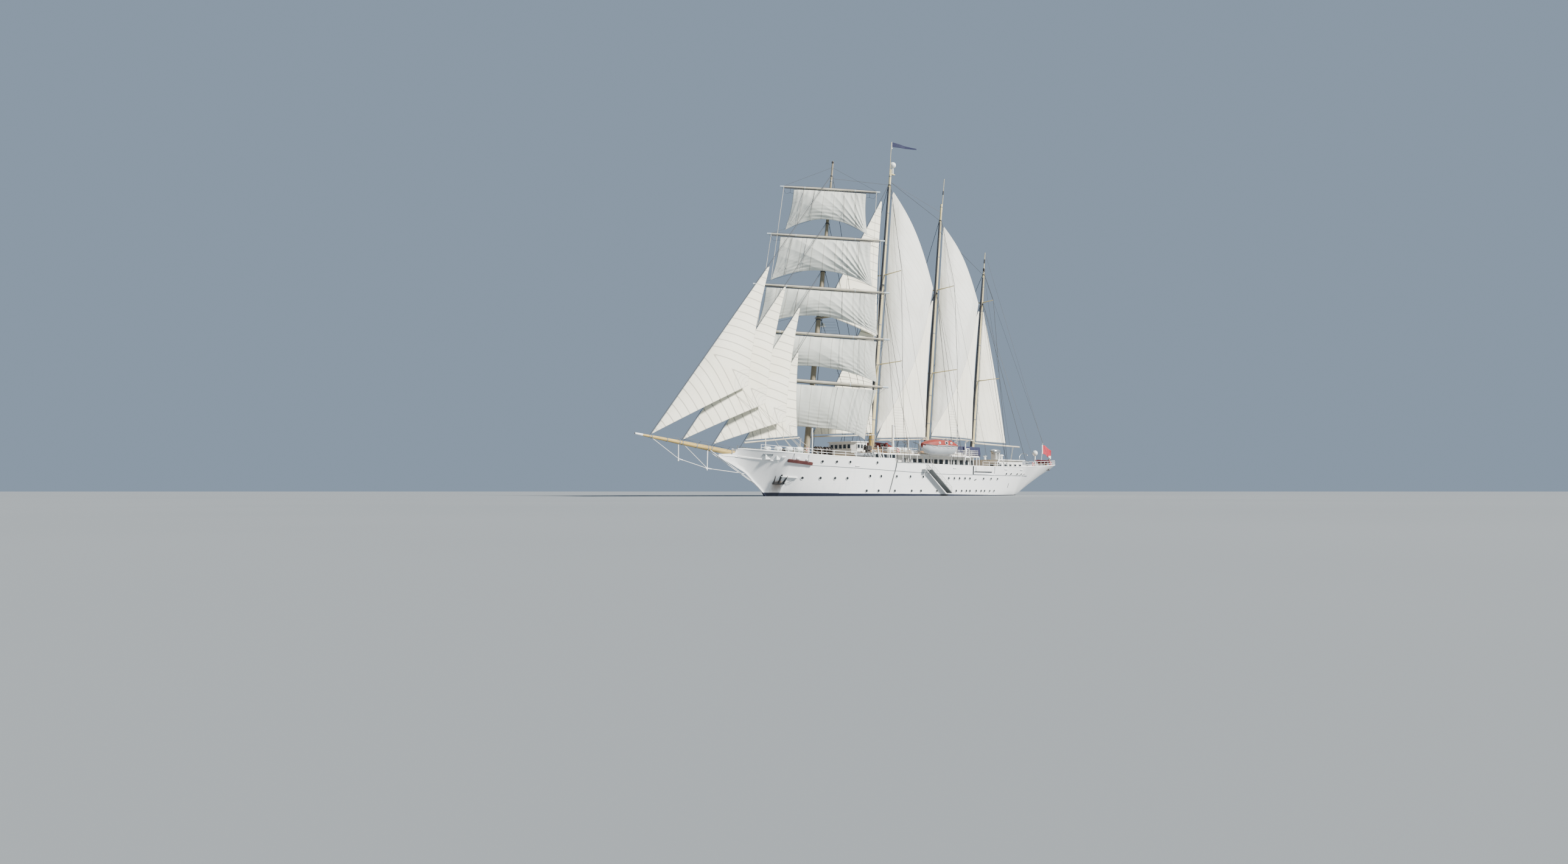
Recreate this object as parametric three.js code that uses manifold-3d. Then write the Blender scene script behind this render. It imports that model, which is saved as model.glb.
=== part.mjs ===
// A four-masted barquentine: square sails on the foremast, fore-and-aft sails on the three masts behind it.
// It is a scale model at 1:10, so 100 millimetres here stand for one metre of the full-size ship.
// X points to the bow, Y to port and Z up. The origin is on the waterline, half way along it.

import * as THREE from "three";
import { mergeVertices } from "three/addons/utils/BufferGeometryUtils.js";
import Module from "manifold-3d";

const wasm = await Module();
wasm.setup();

// Driving dimensions, in model millimetres.
const GAP = 0.6; // what two touching pieces keep between them
const LAP = 1; // how far two joined shapes reach into each other
const PLATE = 15; // bulwark and panel thickness
const WIRE = 3; // radius of a stay or shroud
const CLOTH = 5; // sail thickness, seams and bolt rope included
const BRACE_DEG = 40; // how far the yards are braced round, starboard yardarm forward
const YARD_OFFSET = 90; // from the foremast's axis to a yard's axis
const SAIL_OFFSET = 78; // from the foremast's axis to a square sail's head
const RAIL_HEIGHT = 95; // guard rail above the bulwark's cap
const SUN_DECK = 745; // top of the sun deck above the waterline
const SUN_DECK_HALF = 680; // half its width
const MAIN_DECK = 480; // top of the main deck amidships
const FORE_DECK = 585; // top of the raised deck at the bow
const LUFF_OFFSET = 14; // from a stay's axis to the edge of the sail on it
const DECK_ENDS = [-4740, 4150]; // where the open decks end, aft and forward
const SPRIT_RADIUS = 40; // bowsprit at its heel

// Hull sections from the stern to the bow.
// Columns: x, keel z, rail z, half breadth at the rail, half breadth at the waterline, fullness, deck z.
const SECTIONS = [
  [-4890, 612, 648, 30, 0, 1.6, 560],
  [-4845, 560, 645, 170, 0, 1.7, 560],
  [-4740, 520, 638, 290, 0, 1.8, 530],
  [-4540, 450, 628, 400, 0, 1.9, 520],
  [-4290, 370, 615, 480, 0, 2.0, 515],
  [-3940, 225, 600, 555, 0, 2.1, 505],
  [-3600, 75, 588, 610, 0, 2.2, 490],
  [-3330, -60, 578, 645, 220, 1.7, MAIN_DECK],
  [-2930, -190, 566, 688, 430, 1.2, MAIN_DECK],
  [-2900, -560, 565, 690, 440, 0.7, MAIN_DECK],
  [-2300, -560, 556, 722, 590, 1.1, MAIN_DECK],
  [-1500, -552, 552, 745, 700, 2.2, MAIN_DECK],
  [-500, -542, 558, 750, 738, 3.2, MAIN_DECK],
  [500, -532, 568, 750, 736, 3.2, MAIN_DECK],
  [1090, -526, 574, 748, 722, 2.8, MAIN_DECK],
  [1120, -526, 642, 748, 721, 2.8, MAIN_DECK],
  [1600, -520, 647, 738, 690, 2.4, MAIN_DECK],
  [1950, -514, 651, 726, 640, 2.0, MAIN_DECK],
  [2300, -506, 656, 706, 565, 1.7, FORE_DECK],
  [2450, -502, 659, 694, 528, 1.6, FORE_DECK],
  [2800, -484, 670, 655, 425, 1.35, FORE_DECK],
  [3150, -430, 685, 592, 290, 1.15, FORE_DECK],
  [3400, -270, 700, 520, 160, 1.0, FORE_DECK],
  [3550, 10, 712, 462, 0, 0.9, FORE_DECK],
  [3800, 226, 728, 345, 0, 0.85, FORE_DECK],
  [4000, 380, 742, 225, 0, 0.8, 610],
  [4150, 450, 754, 120, 0, 0.8, 640],
  [4215, 478, 750, 60, 0, 0.9, 700],
  [4240, 490, 692, 45, 0, 1, 700],
  [4560, 622, 666, 20, 0, 1, 700],
];

// Masts. x is the axis at the waterline, slope its rake, and girth holds [z, radius] pairs up the mast.
const MASTS = {
  fore: {
    x: 2662, slope: 0.1334, foot: FORE_DECK, head: 5870,
    girth: [[0, 56], [2000, 48], [3800, 38], [4600, 30], [5300, 20], [5870, 15]],
  },
  main: {
    x: 990, slope: 0.1146, foot: MAIN_DECK, head: 6040,
    girth: [[0, 48], [2800, 40], [4100, 31], [5600, 23], [6040, 20]],
  },
  mizzen: {
    x: -608, slope: 0.1116, foot: MAIN_DECK, head: 5660,
    girth: [[0, 48], [2800, 38], [4000, 30], [5300, 22], [5660, 18]],
  },
  jigger: {
    x: -2067, slope: 0.1247, foot: MAIN_DECK, head: 4600,
    girth: [[0, 42], [2400, 34], [3900, 27], [4600, 17]],
  },
};

// Yards and their square sails, from the deck up.
const YARDS = [
  { name: "course", height: 1950, half: 1290, radius: 27, halfHead: 1100, drop: 60, halfFoot: 964, clew: 1030, roach: 130, arch: 5 },
  { name: "lower_topsail", height: 2775, half: 1245, radius: 25, halfHead: 1030, drop: 40, halfFoot: 1090, clew: 2020, roach: 190, arch: 2 },
  { name: "upper_topsail", height: 3590, half: 1175, radius: 23, halfHead: 950, drop: 35, halfFoot: 1035, clew: 2845, roach: 245, arch: 2 },
  { name: "lower_topgallant", height: 4505, half: 1020, radius: 21, halfHead: 790, drop: 35, halfFoot: 875, clew: 3680, roach: 210, arch: 2 },
  { name: "upper_topgallant", height: 5375, half: 870, radius: 19, halfHead: 632, drop: 30, halfFoot: 716, clew: 4590, roach: 218, arch: 2 },
];

// Stays between two masts or from a mast down to the bowsprit.
// Columns: mast at the head, height there, mast at the foot or null for the bowsprit, height there or x on the bowsprit.
const STAYS = {
  flying_jib: ["fore", 5600, null, 5920],
  outer_jib: ["fore", 4740, null, 5310],
  inner_jib: ["fore", 3880, null, 4700],
  fore_staysail: ["fore", 3030, null, 4143],
  main_staysail: ["main", 3850, "fore", 965],
  upper_main_staysail: ["main", 5740, "fore", 3110],
  mizzen_staysail: ["mizzen", 3890, "main", 890],
  jigger_staysail: ["jigger", 3850, "mizzen", 1010],
};
// Stays that carry no sail.
const BARE_STAYS = {
  main: [["main", 5740, "fore", 5560]],
  mizzen: [["mizzen", 3890, "main", 2650], ["mizzen", 5330, "main", 5800]],
  jigger: [["jigger", 3850, "mizzen", 2450], ["jigger", 4460, "mizzen", 5100]],
};

// Sails on stays. Columns: tack height, head height, clew point, belly as a share of the width, hollow of the leech.
const STAY_SAILS = {
  flying_jib: [945, 3780, [4340, 300, 1700], 0.06, 0.03],
  outer_jib: [880, 3500, [3950, 300, 1440], 0.06, 0.03],
  inner_jib: [830, 3180, [3530, 280, 1170], 0.06, 0.03],
  fore_staysail: [905, 2420, [2935, 150, 1000], 0.05, 0.03],
  main_staysail: [1055, 3600, [1030, 150, 1115], 0.05, 0.03],
  upper_main_staysail: [3150, 5400, [840, 100, 2860], 0.05, 0.03],
  mizzen_staysail: [1045, 3740, [-490, 150, 1085], 0.05, 0.03],
  jigger_staysail: [1140, 3700, [-1960, 150, 1105], 0.05, 0.03],
};
const BOOMED = ["fore_staysail", "main_staysail", "mizzen_staysail", "jigger_staysail"];

// Sails set up and down a mast's after side. Columns: tack, head and clew points, belly, hollow.
const FISHERMEN = {
  main_fisherman: [[715, 45, 1380], [300, 40, 5560], [-850, 80, 3960], 0.09, -0.05],
  mizzen_fisherman: [[-935, 45, 1560], [-1235, 40, 5160], [-2320, 80, 3830], 0.09, -0.05],
};

const SPANKER = { tack: [-2300, 0, 1075], head: [-2585, 0, 3700], clew: [-3110, 150, 1055], belly: 0.07, hollow: -0.04 };
const SPANKER_BOOM = { from: [-2256, 8, 1038], to: [-3540, 200, 990], radius: 17, endRadius: 13 };

const PAINT = {
  hull: [0xf2f2ee, 0.45, 0],
  spar: [0xc9b98a, 0.55, 0],
  yard: [0xb9b2a2, 0.5, 0],
  sail: [0xf1eee0, 0.85, 0],
  squareSail: [0xdedfd8, 0.85, 0],
  house: [0xefefea, 0.5, 0],
  steel: [0x8f959a, 0.4, 0.7],
  boat: [0xe9eae6, 0.45, 0],
  wire: [0x55585a, 0.5, 0.5],
  blue: [0x1f2d63, 0.8, 0],
  red: [0x8c2430, 0.6, 0],
  iron: [0x2b2d2c, 0.7, 0.3],
  bronze: [0xa9803c, 0.35, 0.8],
};

// Shape helpers.

const v3 = (p) => new THREE.Vector3(...p);

function solidOf(geometry) {
  const g = geometry.clone();
  g.deleteAttribute("normal");
  g.deleteAttribute("uv");
  const merged = mergeVertices(g, 1e-3);
  return new wasm.Manifold(
    new wasm.Mesh({
      numProp: 3,
      vertProperties: new Float32Array(merged.attributes.position.array),
      triVerts: new Uint32Array(merged.index.array),
    }),
  );
}

function geometryOf(solid) {
  const m = solid.getMesh();
  const positions = new Float32Array(m.numVert * 3);
  for (let i = 0; i < m.numVert; i++) {
    positions.set(m.vertProperties.subarray(i * m.numProp, i * m.numProp + 3), i * 3);
  }
  return new THREE.BufferGeometry()
    .setAttribute("position", new THREE.BufferAttribute(positions, 3))
    .setIndex(new THREE.BufferAttribute(m.triVerts, 1));
}

const join = (geometries) => geometries.map(solidOf).reduce((all, one) => all.add(one)).simplify(0.01);

// A closed shape from its corners and triangles, turned so that its faces look outwards.
function outward(positions, index) {
  const g = new THREE.BufferGeometry();
  g.setAttribute("position", new THREE.Float32BufferAttribute(positions, 3));
  g.setIndex(index);
  if (solidOf(g).volume() < 0) g.setIndex(index.reverse());
  return g;
}

// A closed skin over rings that all have the same number of corners.
function skin(rings) {
  const n = rings[0].length;
  const positions = [];
  const index = [];
  for (const ring of rings) ring.forEach((p) => positions.push(p[0], p[1], p[2]));
  for (let i = 0; i + 1 < rings.length; i++) {
    for (let j = 0; j < n; j++) {
      const a = i * n + j;
      const b = i * n + ((j + 1) % n);
      index.push(a, b, b + n, a, b + n, a + n);
    }
  }
  for (const [row, reversed] of [[0, true], [rings.length - 1, false]]) {
    const ring = rings[row];
    const centre = positions.length / 3;
    for (let k = 0; k < 3; k++) positions.push(ring.reduce((sum, p) => sum + p[k], 0) / n);
    for (let j = 0; j < n; j++) {
      const a = row * n + j;
      const b = row * n + ((j + 1) % n);
      index.push(...(reversed ? [b, a, centre] : [a, b, centre]));
    }
  }
  return outward(positions, index);
}

function box(low, high) {
  const g = new THREE.BoxGeometry(...high.map((h, i) => h - low[i]));
  return g.translate(...high.map((h, i) => (h + low[i]) / 2));
}

// A tapered round bar from one point to another.
function bar(from, to, r0, r1 = r0, sides = 8) {
  const a = v3(from);
  const b = v3(to);
  const length = a.distanceTo(b);
  const g = new THREE.CylinderGeometry(r1, r0, length, sides).translate(0, length / 2, 0);
  g.applyQuaternion(new THREE.Quaternion().setFromUnitVectors(new THREE.Vector3(0, 1, 0), b.sub(a).normalize()));
  return g.translate(a.x, a.y, a.z);
}

// The four corners of a flat bar's section, turned by its two half widths.
const corners = (p, side, up) =>
  [[1, 1], [-1, 1], [-1, -1], [1, -1]].map(([s, u]) => p.clone().addScaledVector(side, s).addScaledVector(up, u).toArray());

// A wire through a few points, square in section and mitred at each bend.
function wire(points, radius = WIRE) {
  const path = points.map(v3);
  return skin(path.map((p, i) => {
    const before = path[Math.max(0, i - 1)];
    const after = path[Math.min(path.length - 1, i + 1)];
    const direction = after.clone().sub(before).normalize();
    const side = new THREE.Vector3(0, 1, 0).cross(direction).normalize().multiplyScalar(radius);
    const up = direction.clone().cross(side).normalize().multiplyScalar(radius);
    return corners(p, side, up);
  }));
}

// A straight-sided bar with a rectangular section, standing on edge.
function beam(from, to, width, depth) {
  const a = v3(from);
  const b = v3(to);
  const direction = b.clone().sub(a).normalize();
  const side = new THREE.Vector3(0, 0, 1).cross(direction).normalize().multiplyScalar(width / 2);
  const up = direction.clone().cross(side).normalize().multiplyScalar(depth / 2);
  return skin([corners(b, side, up), corners(a, side, up)]);
}

function lathe(profile, sides) {
  return new THREE.LatheGeometry(profile.map(([radius, at]) => new THREE.Vector2(radius, at)), sides);
}

function mesh(name, geometry, paint) {
  const [color, roughness, metalness] = PAINT[paint];
  const shape = geometry.isBufferGeometry ? geometry : geometryOf(geometry);
  const m = new THREE.Mesh(shape, new THREE.MeshStandardMaterial({ color, roughness, metalness }));
  m.name = name;
  return m;
}

// A sheet given by a point for each (u, v), thickened along one direction. Both faces are split along
// the same diagonals, so that they stay as far apart as the cloth is thick.
function sheet(point, direction, cols, rows) {
  const off = v3(direction).normalize().multiplyScalar(CLOTH / 2);
  const positions = [];
  const index = [];
  for (const side of [1, -1]) {
    for (let j = 0; j <= rows; j++) {
      for (let i = 0; i <= cols; i++) {
        const p = v3(point(i / cols, j / rows)).addScaledVector(off, side);
        positions.push(p.x, p.y, p.z);
      }
    }
  }
  const back = (cols + 1) * (rows + 1);
  const at = (i, j) => j * (cols + 1) + i;
  const quad = (a, b, c, d) => index.push(a, b, c, a, c, d);
  for (let j = 0; j < rows; j++) {
    for (let i = 0; i < cols; i++) {
      const [a, b, c, d] = [at(i, j), at(i + 1, j), at(i + 1, j + 1), at(i, j + 1)];
      quad(a, b, c, d);
      quad(a + back, d + back, c + back, b + back);
    }
  }
  const edge = (a, b) => quad(a + back, b + back, b, a);
  for (let i = 0; i < cols; i++) {
    edge(at(i, 0), at(i + 1, 0));
    edge(at(i + 1, rows), at(i, rows));
  }
  for (let j = 0; j < rows; j++) {
    edge(at(cols, j), at(cols, j + 1));
    edge(at(0, j + 1), at(0, j));
  }
  return outward(positions, index);
}

// Hull.

// The half breadth of one section at a height.
function halfBreadth([, keel, rail, atRail, atWater, full], z) {
  if (z >= rail) return atRail;
  if (keel >= 0) return Math.max(15, atRail * ((z - keel) / (rail - keel)) ** (1 / full));
  if (z <= 0) return Math.max(18, atWater * (1 - z / keel) ** (1 / full));
  return Math.max(18, atWater + (atRail - atWater) * (z / rail) ** 0.8);
}

const LOWER_STEPS = 6;
const UPPER_STEPS = 3;

function sectionRing(section) {
  const [x, keel, rail] = section;
  const steps = LOWER_STEPS + UPPER_STEPS;
  const port = [];
  for (let j = 0; j <= steps; j++) {
    const lower = keel * (1 - (j / LOWER_STEPS) ** 1.6);
    const upper = (rail * (j - LOWER_STEPS)) / UPPER_STEPS;
    const whole = keel + (rail - keel) * (j / steps) ** 1.4;
    const underwater = j <= LOWER_STEPS ? lower : upper;
    const z = keel >= 0 ? whole : underwater;
    port.push([x, halfBreadth(section, z), z]);
  }
  const starboard = port.map(([, y, z]) => [x, -y, z]).reverse();
  return [...port, ...starboard];
}

// The two sections on either side of x, and how far x lies from the first towards the second.
function sectionsAt(x) {
  const i = Math.max(1, SECTIONS.findIndex((s) => s[0] >= x));
  const [a, b] = [SECTIONS[i - 1], SECTIONS[i]];
  return [a, b, (x - a[0]) / (b[0] - a[0])];
}

function sectionValue(x, column) {
  const [a, b, share] = sectionsAt(x);
  return a[column] + (b[column] - a[column]) * share;
}
const deckZ = (x) => sectionValue(x, 6);
const railZ = (x) => sectionValue(x, 2);
const railY = (x) => sectionValue(x, 3);

// Half breadth of the hull anywhere, read between its sections.
function hullY(x, z) {
  const [a, b, share] = sectionsAt(x);
  const [ya, yb] = [a, b].map((s) => halfBreadth(s, Math.max(z, s[1])));
  return ya + (yb - ya) * share;
}

const BOWSPRIT = { heel: [3960, 0, 652], shoulder: 4700, end: 5900, tip: [6200, 0, 935] };

function hull() {
  const shell = solidOf(skin(SECTIONS.map(sectionRing)));
  const open = SECTIONS.filter(([x]) => x >= DECK_ENDS[0] && x <= DECK_ENDS[1]);
  const well = open.map((section) => {
    const [x, , rail, , , , deck] = section;
    const low = Math.max(20, halfBreadth(section, deck) - PLATE);
    const high = Math.max(20, halfBreadth(section, rail) - PLATE);
    const port = [[x, low, deck], [x, high, rail], [x, high, rail + 60]];
    return [...port, ...port.map(([, y, z]) => [x, -y, z]).reverse()];
  });
  const socket = bar(BOWSPRIT.heel.map((c, i) => (i === 0 ? c : c - 3)), BOWSPRIT.tip, 46, 30, 12);
  return shell.subtract(solidOf(skin(well))).subtract(solidOf(socket));
}

// The hull's outside, a little larger all round, for trimming what ends on it.
function hullGrown() {
  const grown = SECTIONS.map((s) => sectionRing(s).map(([x, y, z]) => [x + (x > 3500 ? 3 : 0), y + Math.sign(y), z]));
  return solidOf(skin(grown)).subtract(solidOf(bar(BOWSPRIT.heel, BOWSPRIT.tip, 45, 29, 12)));
}

// Masts are raked: every height on the mast has its own x.

const mastX = (mast, z) => mast.x - mast.slope * z;
const onMast = (mast, z, dx = 0, dy = 0) => [mastX(mast, z) + dx, dy, z];
const girthAt = (mast, z) => {
  const i = Math.max(1, mast.girth.findIndex((g) => g[0] >= z));
  const [a, b] = [mast.girth[i - 1], mast.girth[i]];
  return a[1] + ((b[1] - a[1]) * (z - a[0])) / (b[0] - a[0]);
};

// A lathe turned about a mast's axis. The profile holds [radius, height] pairs and closes on the axis.
function turned(mast, profile, sides = 12) {
  const g = lathe(profile, sides).rotateX(Math.PI / 2);
  g.scale(1, 1, Math.hypot(1, mast.slope)).rotateY(-Math.atan(mast.slope));
  return g.translate(mast.x, 0, 0);
}

function mastPole(mast) {
  const foot = mast.foot - 100;
  const body = mast.girth.slice(1).map(([z, r]) => [r, z]);
  return solidOf(turned(mast, [[0, foot], [mast.girth[0][1], foot], ...body, [0, mast.head]]));
}

const aboveDeck = (solid, z) => solid.subtract(solidOf(box([-6000, -900, -900], [6000, 900, z + GAP])));

// Spreaders: a pair of tapered struts to port and starboard. Columns: height, half span, rise at the tip.
const SPREADERS = {
  main: [[2370, 580, 27], [4030, 420, 35]],
  mizzen: [[2330, 610, 30], [3950, 425, 35]],
  jigger: [[2280, 530, 20], [3880, 265, 25]],
};
// The foremast's crosstrees sweep aft, clear of the yards. Columns: height, half span, sweep.
const CROSSTREES = [[2230, 180, 200], [3066, 160, 170], [3916, 145, 150]];
// Light poles above the mast heads. Columns: foot z, foot dx, head z, head dx, radius at the foot, at the head.
const POLES = {
  main: [5940, 20, 6560, 30, 5, 4],
  mizzen: [5500, -26, 6180, -40, 8, 5],
  jigger: [4500, 0, 4920, 0, 10, 6],
};
const RADOME = { bracket: 5950, reach: 110, centre: 6130, radius: 60 };

function crosstree([z, span, sweep]) {
  const arms = [1, -1].map((side) => bar(onMast(MASTS.fore, z), onMast(MASTS.fore, z + 15, -sweep, side * span), 11, 7, 6));
  const x = mastX(MASTS.fore, z);
  return join([...arms, box([x - sweep * 0.75, -span * 0.7, z + 2], [x - 20, span * 0.7, z + 16])]);
}

function spreader(mast, [z, span, rise]) {
  const arms = [1, -1].map((side) => bar(onMast(mast, z), onMast(mast, z + rise, 0, side * span), 12, 8, 6));
  return join(arms);
}

function masts() {
  return Object.entries(MASTS).map(([name, mast]) => {
    const arms = name === "fore" ? CROSSTREES.map(crosstree) : SPREADERS[name].map((row) => spreader(mast, row));
    let solid = arms.reduce((all, one) => all.add(one), mastPole(mast));
    if (POLES[name]) {
      const [footZ, footX, headZ, headX, r0, r1] = POLES[name];
      solid = solid.add(solidOf(bar(onMast(mast, footZ, footX), onMast(mast, headZ, headX), r0, r1, 6)));
    }
    if (name === "main") {
      const x = mastX(mast, RADOME.bracket);
      solid = solid.add(solidOf(box([x - RADOME.reach, -20, RADOME.bracket], [x, 20, RADOME.bracket + 14])));
    }
    return mesh(`${name}_mast`, aboveDeck(solid, mast.foot), "spar");
  });
}

// Square rig: yards and sails are drawn square to the mast, then braced round its axis.

function onForemast(local) {
  local.rotation.set(0, 0, THREE.MathUtils.degToRad(BRACE_DEG), "ZYX");
  const raked = new THREE.Group();
  raked.rotation.y = -Math.atan(MASTS.fore.slope);
  raked.position.set(MASTS.fore.x, 0, 0);
  raked.add(local);
  return raked;
}

function yard({ height, half, radius }, girth) {
  const taper = [[-half, 0.55], [-half * 0.45, 0.92], [0, 1], [half * 0.45, 0.92], [half, 0.55]];
  const spar = lathe([[0, -half], ...taper.map(([y, share]) => [radius * share, y]), [0, half]], 10);
  spar.translate(YARD_OFFSET, 0, height);
  const [inner, outer, tall] = [girth + 4, girth + 14, 16];
  const ring = lathe([[inner, -tall], [outer, -tall], [outer, tall], [inner, tall], [inner, -tall]], 16);
  ring.rotateX(Math.PI / 2).translate(0, 0, height);
  const arm = box([girth + 8, -14, height - 12], [YARD_OFFSET, 14, height + 12]);
  return join([spar, ring, arm]);
}

// The foot is cut to an arch between the clews, and the belly is fullest below the middle.
function squareSail({ height, halfHead, drop, halfFoot, clew, roach, arch }) {
  const top = height - drop;
  const point = (u, v) => {
    const s = 2 * u - 1;
    const half = halfFoot + (halfHead - halfFoot) * v - 25 * Math.sin(Math.PI * v);
    const foot = clew + roach * (1 - Math.abs(s) ** arch);
    const belly = 130 * (1 - s * s) * Math.sin(Math.PI * (0.12 + 0.88 * v)) ** 0.8 + 14 * (1 - v);
    return [SAIL_OFFSET + belly, s * half, foot + (top - foot) * v];
  };
  return sheet(point, [1, 0, 0], 8, 6);
}

function squareRig() {
  const braced = new THREE.Group();
  for (const row of YARDS) {
    const z = row.height * Math.cos(Math.atan(MASTS.fore.slope));
    braced.add(mesh(`${row.name}_yard`, yard(row, girthAt(MASTS.fore, z)), "yard"));
    const sailName = row.name === "course" ? "fore_course" : `${row.name}_sail`;
    braced.add(mesh(sailName, squareSail(row), "squareSail"));
  }
  return onForemast(braced);
}

// Fore-and-aft sails.

// A three-cornered sail: u runs from the luff to the leech and v from the foot to the head.
function staysail(tack, head, clew, belly, hollow) {
  const [t, h, c] = [tack, head, clew].map(v3);
  const chord = c.clone().sub(t);
  const luff = h.clone().sub(t);
  const normal = chord.clone().cross(luff).normalize();
  if (normal.y < 0) normal.negate();
  const headboard = chord.clone().multiplyScalar(0.02);
  const point = (u, v) => {
    const p = t.clone().addScaledVector(luff, v).addScaledVector(chord, u * (1 - v)).addScaledVector(headboard, u * v);
    const width = chord.length() * (1 - v);
    const fullness = 0.35 + 0.65 * Math.sin(Math.PI * Math.min(1, v * 1.1 + 0.15));
    p.addScaledVector(normal, belly * 4 * u * (1 - u) * fullness * width);
    return p.addScaledVector(chord, -hollow * u * Math.sin(Math.PI * v)).toArray();
  };
  return sheet(point, normal.toArray(), 6, 7);
}

const BOOM = { below: 28, behind: 12, past: 0.04, clewGap: 32, radius: 13, endRadius: 11 };

function staysailBoom(name, tackZ, clew) {
  const from = onStay(name, tackZ - BOOM.below, LUFF_OFFSET + BOOM.behind);
  const to = clew.map((c, i) => c + (c - from[i]) * BOOM.past);
  to[2] -= BOOM.clewGap;
  return bar(from, to, BOOM.radius, BOOM.endRadius, 10);
}

function foreAndAftSails() {
  const made = [];
  for (const [name, [tackZ, headZ, clew, belly, hollow]] of Object.entries(STAY_SAILS)) {
    const [tack, head] = [tackZ, headZ].map((z) => onStay(name, z, LUFF_OFFSET));
    made.push(mesh(name, staysail(tack, head, clew, belly, hollow), "sail"));
    if (BOOMED.includes(name)) made.push(mesh(`${name}_boom`, staysailBoom(name, tackZ, clew), "yard"));
  }
  for (const [name, row] of Object.entries(FISHERMEN)) made.push(mesh(name, staysail(...row), "sail"));
  const { tack, head, clew, belly, hollow } = SPANKER;
  made.push(mesh("spanker", staysail(tack, head, clew, belly, hollow), "sail"));
  const { from, to, radius, endRadius } = SPANKER_BOOM;
  made.push(mesh("spanker_boom", bar(from, to, radius, endRadius, 10), "yard"));
  return made;
}

// Bowsprit.

// A point on its axis, and its radius there.
const onSprit = (x) => {
  const { heel, tip } = BOWSPRIT;
  return [x, 0, heel[2] + ((tip[2] - heel[2]) * (x - heel[0])) / (tip[0] - heel[0])];
};
const END_RADIUS = 23;
const spritRadius = (x) => {
  const share = Math.max(0, (x - BOWSPRIT.shoulder) / (BOWSPRIT.end - BOWSPRIT.shoulder));
  return SPRIT_RADIUS + (END_RADIUS - SPRIT_RADIUS) * share;
};

// The bowsprit with its two dolphin strikers, the bobstay over them and the pair of stays to the stem.
function bowsprit() {
  const { heel, shoulder, end, tip } = BOWSPRIT;
  const bobstay = [onSprit(5920), [5370, 0, 578], [4790, 0, 438], [3960, 0, 360]];
  const parts = [
    bar(heel, onSprit(shoulder), SPRIT_RADIUS, SPRIT_RADIUS, 12),
    bar(onSprit(shoulder - 10), onSprit(end), SPRIT_RADIUS, END_RADIUS, 12),
    bar(onSprit(end - 10), tip, 21, 13, 12),
    bar(onSprit(5370), [5370, 0, 548], 7, 7, 6),
    bar(onSprit(4780), [4790, 0, 408], 8, 8, 6),
    ...bobstay.slice(1).map((p, i) => bar(bobstay[i], p, 5, 5, 6)),
    ...[1, -1].map((side) => bar([4750, side * 30, 722], [3770, side * 10, 206], 6, 6, 6)),
  ];
  return join(parts).subtract(hullGrown());
}

// Standing rigging: each wire runs from a collar on its mast to the hull, a spar or another mast.

function collar(mast, z) {
  const [inner, outer] = [girthAt(mast, z) + 1, girthAt(mast, z) + 7];
  const ring = [[inner, z - 9], [outer, z - 9], [outer, z + 9], [inner, z + 9], [inner, z - 9]];
  return turned(mast, ring);
}

// The end of a wire on a collar, on the side that it leaves from.
function fromCollar(mast, z, to) {
  const c = onMast(mast, z);
  const d = new THREE.Vector2(to[0] - c[0], to[1] - c[1]).normalize().multiplyScalar(girthAt(mast, z) + 5);
  return [c[0] + d.x, c[1] + d.y, z];
}

// A stay's two ends, foot first.
function stayEnds([headMast, headZ, footMast, place]) {
  const onAfterSide = (mast, z) => [mastX(mast, z) - girthAt(mast, z) - 9, 0, z];
  const onTop = (x) => [x, 0, onSprit(x)[2] + spritRadius(x) + 4];
  const foot = footMast ? onAfterSide(MASTS[footMast], place) : onTop(place);
  return [foot, fromCollar(MASTS[headMast], headZ, foot)];
}

// The point of a stay at one height, moved aft and down from its axis.
function onStay(name, z, offset) {
  const [foot, head] = stayEnds(STAYS[name]).map(v3);
  const run = head.clone().sub(foot);
  const p = foot.clone().addScaledVector(run, (z - foot.z) / run.z);
  run.normalize();
  return [p.x - run.z * offset, 0, p.z + run.x * offset];
}

// Chainplates stand on the rail. Columns: x from, x to.
const CHAINPLATES = { fore: [1610, 1895], main: [640, 1060], mizzen: [-900, -560], jigger: [-3160, -2300] };

function chainplate([x0, x1], side) {
  const steps = 4;
  const rings = [];
  for (let i = 0; i <= steps; i++) {
    const x = x0 + ((x1 - x0) * i) / steps;
    const y = side * (railY(x) - PLATE / 2);
    const z = railZ(x) + 1;
    rings.push([[x, y - 5, z], [x, y + 5, z], [x, y + 5, z + 12], [x, y - 5, z + 12]]);
  }
  return skin(rings);
}

// Shrouds. Columns: collar height, foot on the rail, and the spreader tips on the way as [height, y] pairs.
const SHROUDS = {
  fore: [[5600, 1640, []], [4740, 1715, []], [3880, 1790, []], [3030, 1865, []]],
  main: [[5740, 850, [[4064, 434], [2397, 594]]], [3850, 1030, []], [3850, 680, []]],
  mizzen: [[5330, -700, [[3985, 439], [2360, 624]]], [3890, -590, []], [3890, -870, []]],
  jigger: [[4460, -2360, [[3905, 279], [2300, 544]]], [3850, -2330, []], [3850, -3120, []]],
};

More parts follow.
